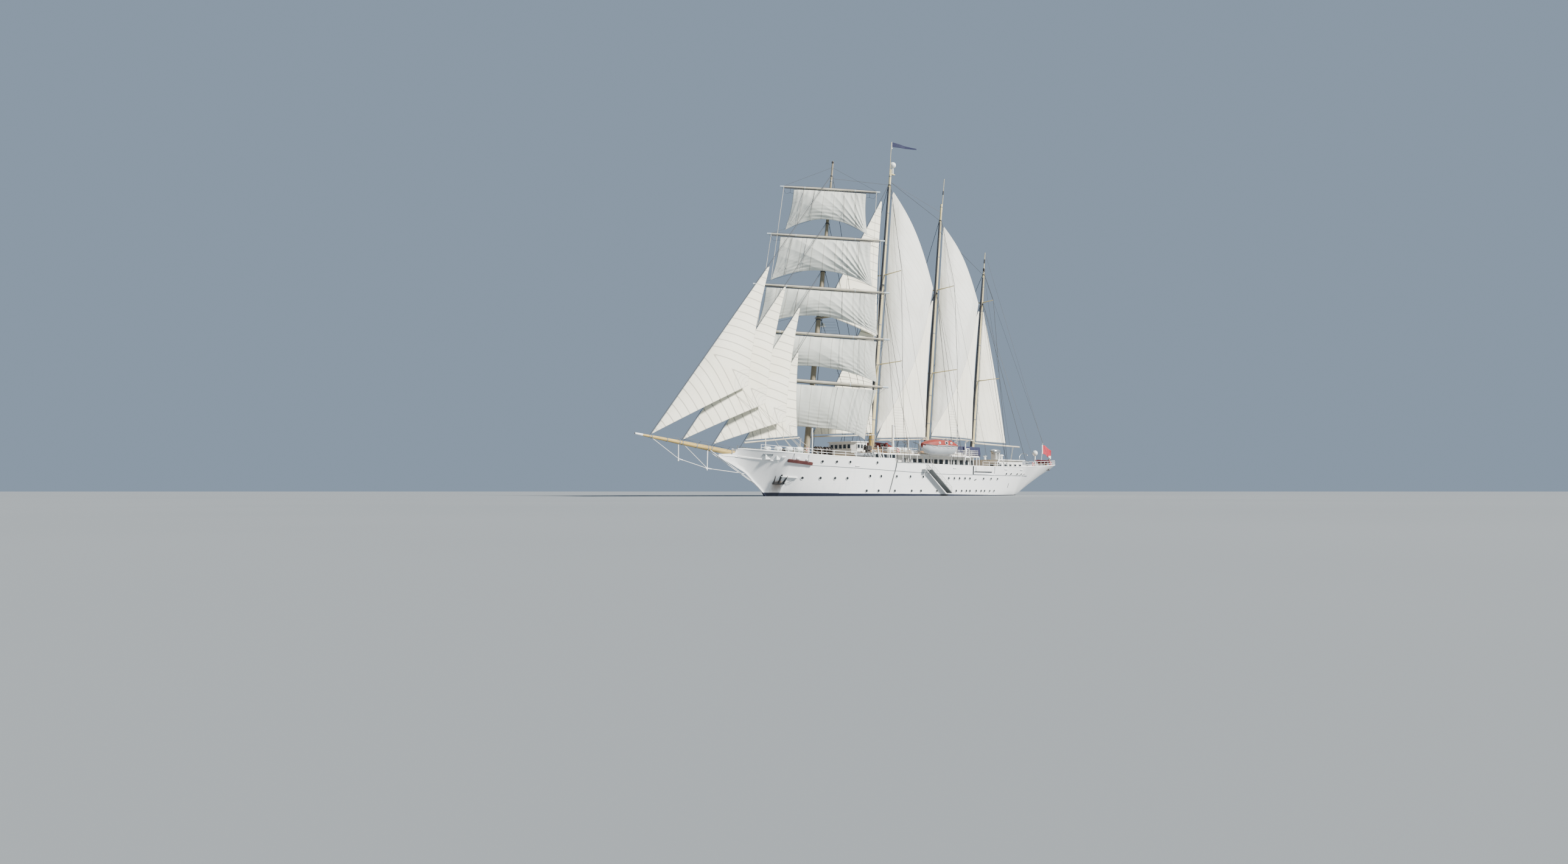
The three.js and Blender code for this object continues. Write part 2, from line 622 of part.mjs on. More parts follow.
function rigging() {
  return Object.entries(SHROUDS).map(([name, shrouds]) => {
    const mast = MASTS[name];
    const stays = Object.values(STAYS).filter(([head]) => head === name);
    const heights = new Set([...stays.map((s) => s[1]), ...shrouds.map((s) => s[0])]);
    const parts = [...heights].map((z) => collar(mast, z));
    for (const stay of stays) parts.push(wire(stayEnds(stay)));
    for (const stay of BARE_STAYS[name] ?? []) parts.push(wire(stayEnds(stay), WIRE * 0.8));
    for (const side of [1, -1]) {
      parts.push(chainplate(CHAINPLATES[name], side));
      for (const [z, x, tips] of shrouds) {
        const foot = [x, side * (railY(x) - PLATE / 2), railZ(x) + 6];
        const bends = tips.map(([tipZ, y]) => [mastX(mast, tipZ), side * y, tipZ]);
        const top = fromCollar(mast, z, tips.length ? [mastX(mast, z), side * 500] : foot);
        parts.push(wire([top, ...bends, foot]));
      }
    }
    return mesh(`${name}_rigging`, join(parts), "wire");
  });
}

// Deck structures.

// Two houses under the sun deck, which reaches out over the side decks. Columns: x from, x to, half width.
const HOUSES = [[-1450, 870, 560], [1050, 1600, 520]];
const SLAB = 22;

function mainDeckhouse() {
  const base = MAIN_DECK + GAP;
  const under = SUN_DECK - SLAB;
  const houses = HOUSES.map(([x0, x1, half]) => box([x0, -half, base], [x1, half, under + LAP]));
  const slab = box([-1450, -SUN_DECK_HALF, under], [1640, SUN_DECK_HALF, SUN_DECK]);
  const mainHole = solidOf(box([830, -80, base - 10], [1010, 80, SUN_DECK + 10]));
  const mizzenHole = solidOf(box([-770, -85, base - 10], [-600, 85, SUN_DECK + 10]));
  return join([...houses, slab]).subtract(mainHole).subtract(mizzenHole);
}

function wheelhouse() {
  const plan = [[1700, 250], [1700, -250], [1640, -330], [1380, -330], [1380, 330], [1640, 330]];
  const base = SUN_DECK + GAP;
  const wall = (z) => plan.map(([x, y]) => [x, y, z]);
  const eaves = (z) => plan.map(([x, y]) => [x + (x > 1500 ? 22 : -16), y * 1.06, z]);
  return join([skin([wall(base), wall(base + 190)]), skin([eaves(base + 190 - LAP), eaves(base + 203)])]);
}

// A house with a roof that reaches past its walls. Columns: x from, x to, half width, height, eaves.
const HOUSE_ROOF = 14;
function deckHouse(base, [x0, x1, half, height, eaves]) {
  const walls = box([x0, -half, base], [x1, half, base + height]);
  const low = base + height - LAP;
  return join([walls, box([x0 - eaves, -half - eaves, low], [x1 + eaves, half + eaves, low + HOUSE_ROOF])]);
}

const LIFEBOAT_AT = [-120, 760, 845];
// Lifeboat sections. Columns: x from the middle, half breadth, keel z, gunwale z, canopy z.
const LIFEBOAT = [
  [-500, 20, 20, 60, 70],
  [-430, 100, -60, 55, 95],
  [-250, 145, -110, 50, 150],
  [150, 150, -115, 50, 170],
  [380, 110, -85, 62, 130],
  [500, 25, 10, 80, 95],
];

function lifeboat(side) {
  const rings = LIFEBOAT.map(([x, half, keel, gunwale, canopy]) => {
    const up = gunwale - keel;
    const top = canopy - gunwale;
    const starboard = [[0.55, keel + up * 0.25], [0.9, keel + up * 0.65], [1, gunwale], [0.72, gunwale + top * 0.75], [0.35, canopy]];
    const port = starboard.map(([y, z]) => [-y, z]).reverse();
    return [[0, keel], ...starboard, ...port].map(([y, z]) => [x, y * half, z]);
  });
  const [x, y, z] = LIFEBOAT_AT;
  return skin(rings).translate(x, side * y, z);
}

const DAVIT = { y: 560, feet: [-430, 190, -1190, -860], tall: 268, reach: 140, rise: 36 };

function davits(side) {
  const { y, feet, tall, reach, rise } = DAVIT;
  const arms = feet.flatMap((x) => [
    bar([x, side * y, SUN_DECK + 2], [x, side * y, SUN_DECK + tall], 12, 11, 6),
    bar([x, side * y, SUN_DECK + tall - 6], [x, side * (y + reach), SUN_DECK + tall + rise], 11, 9, 6),
  ]);
  const trough = beam([-1200, side * y, SUN_DECK + 14], [200, side * y, SUN_DECK + 14], 24, 24);
  return join([...arms, trough]);
}

const ANCHOR = { x: 3465, z: 250, fluke: 44, tip: 62 };

// An anchor stowed against the flare of the bow, flukes up.
function anchor(side) {
  const { x, z, fluke, tip } = ANCHOR;
  const at = (dx, dz, off) => [x + dx, side * (hullY(x + dx, z + dz) + off), z + dz];
  const shank = bar(at(0, 74, 14), at(0, -48, 18), 10, 10, 6);
  const crown = bar(at(-54, -42, 18), at(54, -42, 18), 13, 13, 6);
  const flukes = [-1, 1].map((end) => bar(at(end * fluke, -44, 20), at(end * tip, 52, 24), 13, 5, 6));
  return join([shank, crown, ...flukes]).subtract(hullGrown());
}

const GANGWAY = { top: [250, 827, 475], foot: [-330, 827, 60], halfWidth: 55, handrail: 100, treads: 14 };

// An accommodation ladder: stringers, treads, a landing at its foot and a handrail on each side.
function gangway() {
  const { top, foot, halfWidth, handrail, treads } = GANGWAY;
  const between = (share) => top.map((c, k) => c + (foot[k] - c) * share);
  const parts = [];
  for (const dy of [-halfWidth, halfWidth]) {
    const shifted = ([x, y, z], rise) => [x, y + dy, z + rise];
    parts.push(beam(shifted(top, 0), shifted(foot, 0), 5, 26));
    parts.push(wire([shifted(between(0.02), handrail), shifted(between(0.98), handrail)]));
    for (const share of [0.03, 0.27, 0.5, 0.73, 0.97]) {
      parts.push(bar(shifted(between(share), 0), shifted(between(share), handrail), 2.5, 2.5, 4));
    }
  }
  for (let i = 0; i <= treads; i++) {
    const [x, y, z] = between(i / treads);
    parts.push(box([x - 13, y - halfWidth, z - 2], [x + 13, y + halfWidth, z + 3]));
  }
  const [x, y, z] = foot;
  parts.push(box([x - 75, y - halfWidth - 4, z - 14], [x + 8, y + halfWidth + 4, z - 6]));
  return join(parts);
}

function gangwayPlatform() {
  const [x, y, z] = GANGWAY.top;
  const outer = y + GANGWAY.halfWidth;
  const plate = box([x + 24, 745, z - 4], [x + 120, outer, z + 6]);
  const brackets = [x + 34, x + 110].map((bx) => bar([bx, 748, z - 110], [bx, outer - 8, z], 4, 4, 4));
  return join([plate, ...brackets]).subtract(hullGrown());
}

const RUDDER_X = -3290;

function rudder() {
  const outline = [[-150, -520], [22, -540], [22, -125], [-60, -110], [-130, -160]];
  const rings = [-1, 1].map((side) => outline.map(([x, z]) => [RUDDER_X + x, side * (x > -40 ? 16 : 7), z]));
  const stock = bar([RUDDER_X, 0, -130], [RUDDER_X, 0, -86], 12, 12, 8);
  return join([skin(rings), stock]);
}

const PROPELLER = { x: -2995, z: -370 };
// One blade. Columns: radius, half width.
const BLADE = [[15, 16], [60, 38], [105, 42], [140, 14]];
const BLADES = 4;

function propeller() {
  const { x, z } = PROPELLER;
  const blades = [bar([x - 38, 0, z], [x + 60, 0, z], 20, 26, 12)];
  for (let i = 0; i < BLADES; i++) {
    const rings = BLADE.map(([radius, width], k) => {
      const pitch = 0.9 - 0.16 * k;
      const [across, forward] = [Math.cos(pitch) * width, Math.sin(pitch) * width];
      const [a, b] = [[-forward, -across], [forward, across]];
      return [[a[0] - 3, a[1], radius], [a[0] + 3, a[1], radius], [b[0] + 3, b[1], radius], [b[0] - 3, b[1], radius]];
    });
    blades.push(skin(rings).rotateX((i * 2 * Math.PI) / BLADES).translate(x, 0, z));
  }
  return join(blades);
}

const BOW_RAIL = { from: 2080, to: 3900, spacing: 260, tube: 3, post: 4 };

// Guard rails follow the bulwark's cap: stanchions with two rails.
function guardRail(side) {
  const { from, to, spacing, tube, post } = BOW_RAIL;
  const stops = [];
  for (let x = from; x < to - spacing / 2; x += spacing) stops.push(x);
  stops.push(to);
  const at = (x, rise) => [x, side * (railY(x) - PLATE / 2), railZ(x) + rise];
  const rails = [RAIL_HEIGHT - 4, RAIL_HEIGHT * 0.5].map((rise) => skin(stops.map((stop) => {
    const [x, y, z] = at(stop, rise);
    return [[x, y - tube, z - tube], [x, y + tube, z - tube], [x, y + tube, z + tube], [x, y - tube, z + tube]];
  })));
  const posts = stops.map((stop) => {
    const inset = stop === from ? post + 1 : 0;
    const [x, y, z] = at(stop + (stop === to ? -post - 1 : inset), 1.5);
    return box([x - post, y - post, z], [x + post, y + post, z + RAIL_HEIGHT - 3]);
  });
  return join([...rails, ...posts]);
}

function windlass() {
  const base = FORE_DECK + GAP;
  const drum = new THREE.CylinderGeometry(34, 34, 190, 12).translate(3700, 0, base + 48);
  return join([drum, box([3665, -70, base], [3735, 70, base + 60])]);
}

function radome() {
  const { bracket, centre, radius } = RADOME;
  const [x] = onMast(MASTS.main, 6010, -62);
  const ball = new THREE.SphereGeometry(radius, 16, 10).translate(x, 0, centre);
  return join([ball, bar([x, 0, bracket + 14 + GAP], [x, 0, centre - 30], 16, 16, 8)]);
}

const STERN_DOME = { x: -4430, z: 890, radius: 58 };

function sternDome() {
  const { x, z, radius } = STERN_DOME;
  const ball = new THREE.SphereGeometry(radius, 16, 10).translate(x, 0, z);
  return join([ball, bar([x, 0, deckZ(x) + 8], [x, 0, z - 45], 14, 14, 8)]);
}

const STAFF = { foot: [-4640, 0, 532], head: [-4740, 0, 1110] };

function ensign() {
  const staff = bar(STAFF.foot, STAFF.head, 6, 4, 6);
  const point = (u, v) => [-4705 - 330 * u, 26 * Math.sin(u * 7) * u, 880 + 190 * v - 110 * u * u];
  return join([staff, sheet(point, [0, 1, 0], 8, 2)]);
}

function pennant() {
  const [x] = onMast(MASTS.main, 6560, 30);
  const point = (u, v) => {
    const taper = 90 * (1 - 0.75 * u);
    return [x - 8 - 460 * u, 24 * Math.sin(u * 8) * u, 6520 - 60 * u - (v - 0.5) * taper];
  };
  return join([sheet(point, [0, 1, 0], 8, 1), bar([x - 12, 0, 6450], [x - 12, 0, 6570], 4, 4, 6)]);
}

// A small boat hung at the stern. Columns: x from the middle, half breadth, keel z.
const STERN_BOAT_AT = [-4330, 250, 650];
const STERN_BOAT = [[-210, 34, 12], [-130, 78, 0], [110, 78, 0], [210, 22, 18]];

function sternBoat() {
  const rings = STERN_BOAT.map(([x, half, keel]) => {
    const port = [[half * 0.5, keel], [half, keel + 14], [half * 0.8, keel + 58]];
    return [...port, ...port.map(([y, z]) => [-y, z]).reverse()].map(([y, z]) => [x, y, z]);
  });
  return skin(rings).translate(...STERN_BOAT_AT);
}

const AWNING = { low: [-2040, -300, 760], high: [-1500, 300, 950], post: 12 };

// A canvas cover with straight sides, standing on four posts over the deck between the houses.
function awning() {
  const { low, high, post } = AWNING;
  const feet = [low[0] + 20, high[0] - 20].flatMap((x) => [low[1] + 20, high[1] - 20].map((y) => [x, y]));
  const posts = feet.map(([x, y]) => bar([x, y, MAIN_DECK + GAP], [x, y, low[2] + LAP], post, post, 6));
  return join([box(low, high), ...posts]);
}

const ship = new THREE.Group();
ship.add(
  mesh("hull", hull(), "hull"),
  mesh("bowsprit", bowsprit(), "spar"),
  ...masts(),
  squareRig(),
  ...foreAndAftSails(),
  ...rigging(),
  mesh("main_deckhouse", mainDeckhouse(), "house"),
  mesh("wheelhouse", wheelhouse(), "house"),
  mesh("aft_deckhouse", deckHouse(MAIN_DECK + GAP, [-3300, -2420, 430, 215, 40]), "house"),
  mesh("fore_deckhouse", deckHouse(FORE_DECK + GAP, [3050, 3440, 210, 105, 28]), "house"),
  mesh("windlass", windlass(), "iron"),
  mesh("radome", radome(), "house"),
  mesh("stern_dome", sternDome(), "house"),
  mesh("ensign", ensign(), "red"),
  mesh("pennant", pennant(), "blue"),
  mesh("stern_boat", sternBoat(), "red"),
  mesh("awning", awning(), "blue"),
  mesh("gangway", gangway(), "steel"),
  mesh("gangway_platform", gangwayPlatform(), "house"),
  mesh("rudder", rudder(), "hull"),
  mesh("propeller", propeller(), "bronze"),
);
for (const [word, side] of [["port", 1], ["starboard", -1]]) {
  ship.add(
    mesh(`lifeboat_${word}`, lifeboat(side), "boat"),
    mesh(`davits_${word}`, davits(side), "house"),
    mesh(`anchor_${word}`, anchor(side), "iron"),
    mesh(`rail_${word}`, guardRail(side), "house"),
  );
}

export default ship;
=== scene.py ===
# %% [markdown]
# # A four-masted sailing ship, model at 1:10
# The hull, masts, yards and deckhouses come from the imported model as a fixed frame, in metres: X to the bow, Y to port,
# Z up, with the waterline at zero. This notebook gives each of them its finish, and adds what the eye expects on a
# ship: sails with seams and folds, running rigging, portholes, windows, rails and deck gear.

# %% Load the frame
import math

import bpy
import numpy as np
from mathutils import Matrix, Vector


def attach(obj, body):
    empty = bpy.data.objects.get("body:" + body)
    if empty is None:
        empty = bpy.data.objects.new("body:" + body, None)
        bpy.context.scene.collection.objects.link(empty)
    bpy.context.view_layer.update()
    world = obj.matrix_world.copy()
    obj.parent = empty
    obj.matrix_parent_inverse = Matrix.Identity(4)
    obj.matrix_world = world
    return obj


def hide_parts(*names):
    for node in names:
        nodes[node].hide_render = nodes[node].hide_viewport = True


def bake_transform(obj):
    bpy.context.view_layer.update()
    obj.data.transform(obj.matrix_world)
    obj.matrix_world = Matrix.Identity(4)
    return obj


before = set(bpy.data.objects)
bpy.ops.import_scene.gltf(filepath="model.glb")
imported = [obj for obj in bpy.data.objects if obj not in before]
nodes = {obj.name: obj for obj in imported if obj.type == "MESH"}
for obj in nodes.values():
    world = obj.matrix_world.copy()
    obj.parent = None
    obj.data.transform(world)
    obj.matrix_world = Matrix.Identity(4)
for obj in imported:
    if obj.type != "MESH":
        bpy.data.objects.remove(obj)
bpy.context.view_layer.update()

# %% [markdown]
# ## Camera, floor and light
# The photograph was taken low over the water, off the port bow. The camera stands at the place that was worked out
# from the horizon and the masts. A plain floor lies at the waterline, where the sea would be. The sun of the
# photograph is over the port side, so the key light comes from there, about 37 degrees up, with a soft edge, and the
# world fills in the shade.

# %% Camera, floor and light
EYE = (16.669, 13.573, 0.08)
LOOK = [math.radians(angle) for angle in (92.94, 0, 135)]
bpy.ops.object.camera_add(location=EYE, rotation=LOOK)
camera = bpy.context.object
camera.name = "camera"
camera.data.sensor_width = 36
camera.data.lens = 26.55
camera.data.clip_end = 2000
bpy.context.scene.camera = camera

bpy.ops.mesh.primitive_plane_add(size=1200)
floor = bpy.context.object
floor.name = "floor"

TO_SUN = Vector((-0.18, 0.73, 0.56)).normalized()
bpy.ops.object.light_add(type="SUN", rotation=TO_SUN.to_track_quat("Z", "Y").to_euler())
sun = bpy.context.object.data
sun.energy = 10.9
sun.angle = math.radians(9)
sun.color = (1, 0.965, 0.9)

world = bpy.data.worlds.new("studio")
bpy.context.scene.world = world
world.use_nodes = True
sky = world.node_tree.nodes["Background"]
sky.inputs["Color"].default_value = (0.46, 0.6, 0.78, 1)
sky.inputs["Strength"].default_value = 0.58
print("camera at", EYE, "sun towards", [round(c, 2) for c in TO_SUN])

# %% [markdown]
# ## Helpers for modelling
# Each piece starts as a primitive, is shaped with operators, and ends with its place in its mesh. Operators act on all
# that is selected, so everything is deselected first. Hull, boats and rudder are grids bent into rings: their open ends
# are filled afterwards.

# %% Helpers for modelling
ops = bpy.ops


def pick(*objects):
    """Selects only these objects, the first one active."""
    if bpy.context.object and bpy.context.object.mode != "OBJECT":
        ops.object.mode_set(mode="OBJECT")
    ops.object.select_all(action="DESELECT")
    for one in objects:
        one.select_set(True)
    bpy.context.view_layer.objects.active = objects[0]
    return objects[0]


def settle(piece, name=None):
    """Puts the piece's place, turn and size into its mesh."""
    pick(piece)
    ops.object.transform_apply(location=True, rotation=True, scale=True)
    if name:
        piece.name = name
    return piece


def modify(piece, kind, **settings):
    """Adds a modifier and applies it."""
    pick(piece)
    modifier = piece.modifiers.new(kind.lower(), kind)
    for key, value in settings.items():
        setattr(modifier, key, value)
    ops.object.modifier_apply(modifier=modifier.name)
    return piece


def outward(piece, merge=1e-5):
    """Merges doubles and turns the faces outwards."""
    pick(piece)
    ops.object.mode_set(mode="EDIT")
    ops.mesh.select_all(action="SELECT")
    ops.mesh.remove_doubles(threshold=merge)
    ops.mesh.normals_make_consistent(inside=False)
    ops.object.mode_set(mode="OBJECT")
    return piece


def close_rims(piece, merge=1e-5, fill=True):
    """Merges doubles, fills the open rims and turns the faces outwards."""
    outward(piece, merge)
    ops.object.mode_set(mode="EDIT")
    ops.mesh.select_all(action="DESELECT")
    ops.mesh.select_mode(type="EDGE")
    if fill:
        ops.mesh.select_non_manifold(
            extend=False, use_wire=False, use_multi_face=False, use_non_contiguous=False, use_verts=False
        )
        ops.mesh.edge_face_add()
    ops.object.mode_set(mode="OBJECT")
    return outward(piece)


def bent_grid(cols, rows, where):
    """A grid whose points are moved to where(u, v), with u and v from 0 to 1."""
    ops.mesh.primitive_grid_add(x_subdivisions=cols, y_subdivisions=rows, size=2)
    piece = bpy.context.object
    for vertex in piece.data.vertices:
        vertex.co = where((vertex.co.x + 1) / 2, (vertex.co.y + 1) / 2)
    return piece


def ring_skin(xs, rings):
    """A skin over rings of (y, z) points, one at each x."""
    last_point, last_ring = len(rings[0]) - 1, len(xs) - 1

    def where(u, v):
        i = round(v * last_ring)
        return xs[i], *rings[i][round(u * last_point)]

    return bent_grid(last_point, last_ring, where)


def smooth(piece, angle=35):
    pick(piece)
    ops.object.shade_smooth_by_angle(angle=math.radians(angle))
    return piece


def block(low, high, bevel=0.004):
    """A box between two corners with rounded edges."""
    centre = [(a + b) / 2 for a, b in zip(low, high)]
    ops.mesh.primitive_cube_add(size=1, location=centre)
    piece = bpy.context.object
    piece.scale = [b - a for a, b in zip(low, high)]
    settle(piece)
    return modify(piece, "BEVEL", width=bevel, segments=2, limit_method="ANGLE") if bevel else piece


def rod(start, end, radius, end_radius=None, sides=12):
    """A round bar between two points, its ends slightly rounded."""
    start, end = Vector(start), Vector(end)
    run = end - start
    ops.mesh.primitive_cone_add(
        vertices=sides, radius1=radius, radius2=radius if end_radius is None else end_radius, depth=run.length,
        location=(start + end) / 2, rotation=run.to_track_quat("Z", "Y").to_euler(),
    )
    piece = settle(bpy.context.object)
    return smooth(piece)


def turned(centre, profile, sides=24):
    """A turned shape: a disc that is extruded and resized ring by ring. The profile holds [radius, height] pairs."""
    x, y, z = centre
    radius, height = profile[0]
    ops.mesh.primitive_circle_add(vertices=sides, radius=radius, location=(x, y, z + height), fill_type="NGON")
    piece = settle(bpy.context.object)
    ops.object.mode_set(mode="EDIT")
    ops.mesh.select_all(action="SELECT")
    for radius_next, height_next in profile[1:]:
        ops.mesh.extrude_region_move(TRANSFORM_OT_translate={"value": (0, 0, height_next - height)})
        share = radius_next / radius
        ops.transform.resize(value=(share, share, 1), center_override=(x, y, z + height_next))
        radius, height = radius_next, height_next
    ops.object.mode_set(mode="OBJECT")
    return smooth(outward(piece))


def lay_along(piece):
    """Lays a turned piece down, its axis along the ship."""
    piece.data.transform(Matrix.Rotation(math.radians(90), 4, "Y"))
    return piece


def inset_faces(piece, way, border, step, depth):
    """Insets the faces that look a certain way for a border, and sinks what is inside it."""
    ops.object.mode_set(mode="EDIT")
    ops.mesh.select_mode(type="FACE")
    ops.mesh.select_all(action="DESELECT")
    ops.object.mode_set(mode="OBJECT")
    for face in piece.data.polygons:
        face.select = face.normal.dot(Vector(way)) > 0.9
    ops.object.mode_set(mode="EDIT")
    ops.mesh.inset(thickness=border)
    ops.mesh.inset(thickness=step, depth=-depth)
    ops.object.mode_set(mode="OBJECT")


def fuse(name, pieces):
    """Joins pieces into one object with that name."""
    pieces = list(pieces)
    pick(*pieces)
    if len(pieces) > 1:
        ops.object.join()
    piece = bpy.context.object
    piece.name = name
    piece.data.name = name
    return piece


def copies(piece, places):
    """The piece and its copies, one for each matrix or shift, each with its own mesh."""
    made = []
    for place in places:
        twin = piece.copy()
        twin.data = piece.data.copy()
        bpy.context.scene.collection.objects.link(twin)
        twin.data.transform(place if isinstance(place, Matrix) else Matrix.Translation(place))
        made.append(twin)
    bpy.data.objects.remove(piece)
    return made


def both_sides(piece):
    """Adds the starboard twin of what was made to port."""
    modify(piece, "MIRROR", use_axis=(False, True, False), use_mirror_merge=False)
    return piece


def lines(name, runs, radius):
    """Ropes, wires, rails and trim: one tube for each run of points."""
    ops.curve.primitive_bezier_curve_add()
    piece = bpy.context.object
    piece.name = name
    curve = piece.data
    curve.splines.clear()
    curve.dimensions = "3D"
    curve.bevel_depth = radius
    curve.bevel_resolution = 1
    curve.use_fill_caps = True
    for run in runs:
        spline = curve.splines.new("POLY")
        spline.points.add(len(run) - 1)
        for point, place in zip(spline.points, run):
            point.co = (*place, 1)
    pick(piece)
    ops.object.convert(target="MESH")
    return smooth(bpy.context.object, 60)


made_pieces = []


def place(piece, body, slot, *finishes, replaces=()):
    """Gives a piece its finishes and its body. The slot is not used."""
    if finishes:
        piece.data.materials.clear()
        for one in finishes:
            piece.data.materials.append(one)
    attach(piece, body)
    if replaces:
        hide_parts(*replaces)
    made_pieces.append(piece.name)
    return piece


print("helpers ready")

# %% [markdown]
# ## Finishes
# Every surface gets a node material. Most are paint, wood or metal: two close colours mixed by a broad noise, fine
# grain as bump, and a roughness that wanders a little. The patterns follow Object coordinates, which are the ship's own
# metres, so a plank or a streak keeps its place.

# %% Finishes
def blank(name):
    material = bpy.data.materials.new(name)
    material.use_nodes = True
    tree = material.node_tree
    return material, tree, tree.nodes["Principled BSDF"]


def node(tree, kind, inputs=None, **settings):
    """Adds a node, and sets or links its inputs."""
    made = tree.nodes.new(kind)
    for key, value in settings.items():
        setattr(made, key, value)
    for socket, value in (inputs or {}).items():
        if isinstance(value, bpy.types.NodeSocket):
            tree.links.new(value, made.inputs[socket])
        else:
            made.inputs[socket].default_value = value
    return made


def maths(tree, operation, *values, clamp=False):
    return node(tree, "ShaderNodeMath", dict(enumerate(values)), operation=operation, use_clamp=clamp).outputs[0]


def between(tree, value, low, high, to_low=0.0, to_high=1.0):
    inputs = {"Value": value, "From Min": low, "From Max": high, "To Min": to_low, "To Max": to_high}
    return node(tree, "ShaderNodeMapRange", inputs).outputs[0]


def blend(tree, share, first, second):
    """Mixes two colours, which may be sockets or triples."""
    mix = node(tree, "ShaderNodeMix", {0: share}, data_type="RGBA")
    for socket, value in ((6, first), (7, second)):
        if isinstance(value, bpy.types.NodeSocket):
            tree.links.new(value, mix.inputs[socket])
        else:
            mix.inputs[socket].default_value = (*value, 1)
    return mix.outputs[2]


def noise(tree, coordinates, scale, detail=3.0):
    return node(tree, "ShaderNodeTexNoise", {"Vector": coordinates, "Scale": scale, "Detail": detail}).outputs["Fac"]


def object_metres(tree):
    return node(tree, "ShaderNodeTexCoord").outputs["Object"]


def finish_bump(tree, shader, height, strength, distance=0.002):
    bump = node(tree, "ShaderNodeBump", {"Height": height, "Strength": strength, "Distance": distance})
    tree.links.new(bump.outputs[0], shader.inputs["Normal"])


def paint(name, colour, worn=None, roughness=0.5, metallic=0.0, broad=1.2, grain=90.0, bump=0.25, coat=0.0):
    """Paint, metal or moulded plastic with slight wear."""
    material, tree, shader = blank(name)
    metres = object_metres(tree)
    worn = worn or tuple(c * 0.82 for c in colour)
    patches = between(tree, noise(tree, metres, broad, 5.0), 0.38, 0.72)
    speckle = between(tree, noise(tree, metres, grain, 2.0), 0.3, 0.75)
    share = maths(tree, "MULTIPLY", patches, between(tree, speckle, 0, 1, 0.45, 1.0))
    tree.links.new(blend(tree, share, colour, worn), shader.inputs["Base Color"])
    tree.links.new(between(tree, speckle, 0, 1, roughness - 0.06, roughness + 0.08), shader.inputs["Roughness"])
    shader.inputs["Metallic"].default_value = metallic
    shader.inputs["Coat Weight"].default_value = coat
    finish_bump(tree, shader, speckle, bump, 0.0015)
    return material


PAINTS = {
    "house_paint": dict(colour=(0.83, 0.84, 0.82), worn=(0.68, 0.69, 0.66), roughness=0.45),
    "white_metal": dict(colour=(0.82, 0.83, 0.82), worn=(0.6, 0.62, 0.61), roughness=0.4, broad=4),
    "spar_buff": dict(colour=(0.64, 0.55, 0.29), worn=(0.44, 0.36, 0.18), roughness=0.5, broad=2.5, bump=0.4),
    "sprit_gold": dict(colour=(0.5, 0.365, 0.125), worn=(0.33, 0.23, 0.08), roughness=0.45, broad=3, bump=0.4),
    "foremast_tan": dict(colour=(0.29, 0.25, 0.17), worn=(0.16, 0.135, 0.09), roughness=0.55, broad=3, bump=0.5),
    "yard_cream": dict(colour=(0.62, 0.58, 0.47), worn=(0.35, 0.31, 0.24), roughness=0.5, broad=3, bump=0.4),
    "yard_tip": dict(colour=(0.66, 0.76, 0.82), worn=(0.5, 0.58, 0.63), roughness=0.5),
    "black_iron": dict(colour=(0.035, 0.037, 0.04), worn=(0.09, 0.07, 0.06), roughness=0.6, metallic=0.3, bump=0.6),
    "steel": dict(colour=(0.42, 0.45, 0.47), worn=(0.26, 0.27, 0.28), roughness=0.35, metallic=0.8, broad=6),
    "canopy_orange": dict(colour=(0.23, 0.017, 0.008), worn=(0.16, 0.014, 0.01), roughness=0.62, broad=3),
    # The boats' shell paint is grey rather than white: painted shade, for the shade on their lower hulls.
    "boat_shell": dict(colour=(0.5, 0.53, 0.56), worn=(0.36, 0.385, 0.41), roughness=0.35, broad=3, coat=0.3),
    "boat_red": dict(colour=(0.11, 0.005, 0.013), worn=(0.07, 0.005, 0.01), roughness=0.55),
    "gel_white": dict(colour=(0.84, 0.87, 0.86), worn=(0.66, 0.74, 0.72), roughness=0.3, broad=9, coat=0.5),
    "bronze": dict(colour=(0.52, 0.33, 0.12), worn=(0.22, 0.2, 0.11), roughness=0.35, metallic=0.9, broad=8),
    "wire_grey": dict(
        colour=(0.085, 0.09, 0.095), worn=(0.05, 0.05, 0.055), roughness=0.5, metallic=0.5, broad=8, grain=300
    ),
    "rope_dark": dict(colour=(0.09, 0.095, 0.11), worn=(0.17, 0.16, 0.14), roughness=0.9, grain=400, bump=0.6),
    "rope_pale": dict(colour=(0.62, 0.6, 0.52), worn=(0.42, 0.4, 0.33), roughness=0.9, grain=400, bump=0.6),
    "teak_trim": dict(colour=(0.35, 0.2, 0.095), worn=(0.22, 0.13, 0.07), roughness=0.6, broad=6, grain=160, bump=0.5),
    "plank_red": dict(colour=(0.06, 0.012, 0.012), worn=(0.11, 0.035, 0.03), roughness=0.75, broad=9, bump=0.6),
    # This dark grey is the overboard pipe's colour; on the gangway it is also painted shade, for the shade between its
    # rails and its shadow on the plating.
    "ladder_grey": dict(colour=(0.13, 0.14, 0.14), worn=(0.07, 0.075, 0.075), roughness=0.6, broad=6, bump=0.5),
    "lamp_red": dict(colour=(0.6, 0.03, 0.03), roughness=0.4),
}
finish = {name: paint(name, **values) for name, values in PAINTS.items()}
print("paints:", len(finish))

# %% [markdown]
# Window glass and portholes are dark from outside, with a sharp gloss and a little grime. The floor is plain and pale.

# %% Glass and floor
def dark_glass():
    material, tree, shader = blank("dark_glass")
    grime = between(tree, noise(tree, object_metres(tree), 25.0), 0.4, 0.8)
    tree.links.new(blend(tree, grime, (0.008, 0.011, 0.014), (0.026, 0.034, 0.04)), shader.inputs["Base Color"])
    tree.links.new(between(tree, grime, 0, 1, 0.08, 0.3), shader.inputs["Roughness"])
    shader.inputs["Coat Weight"].default_value = 0.25
    return material


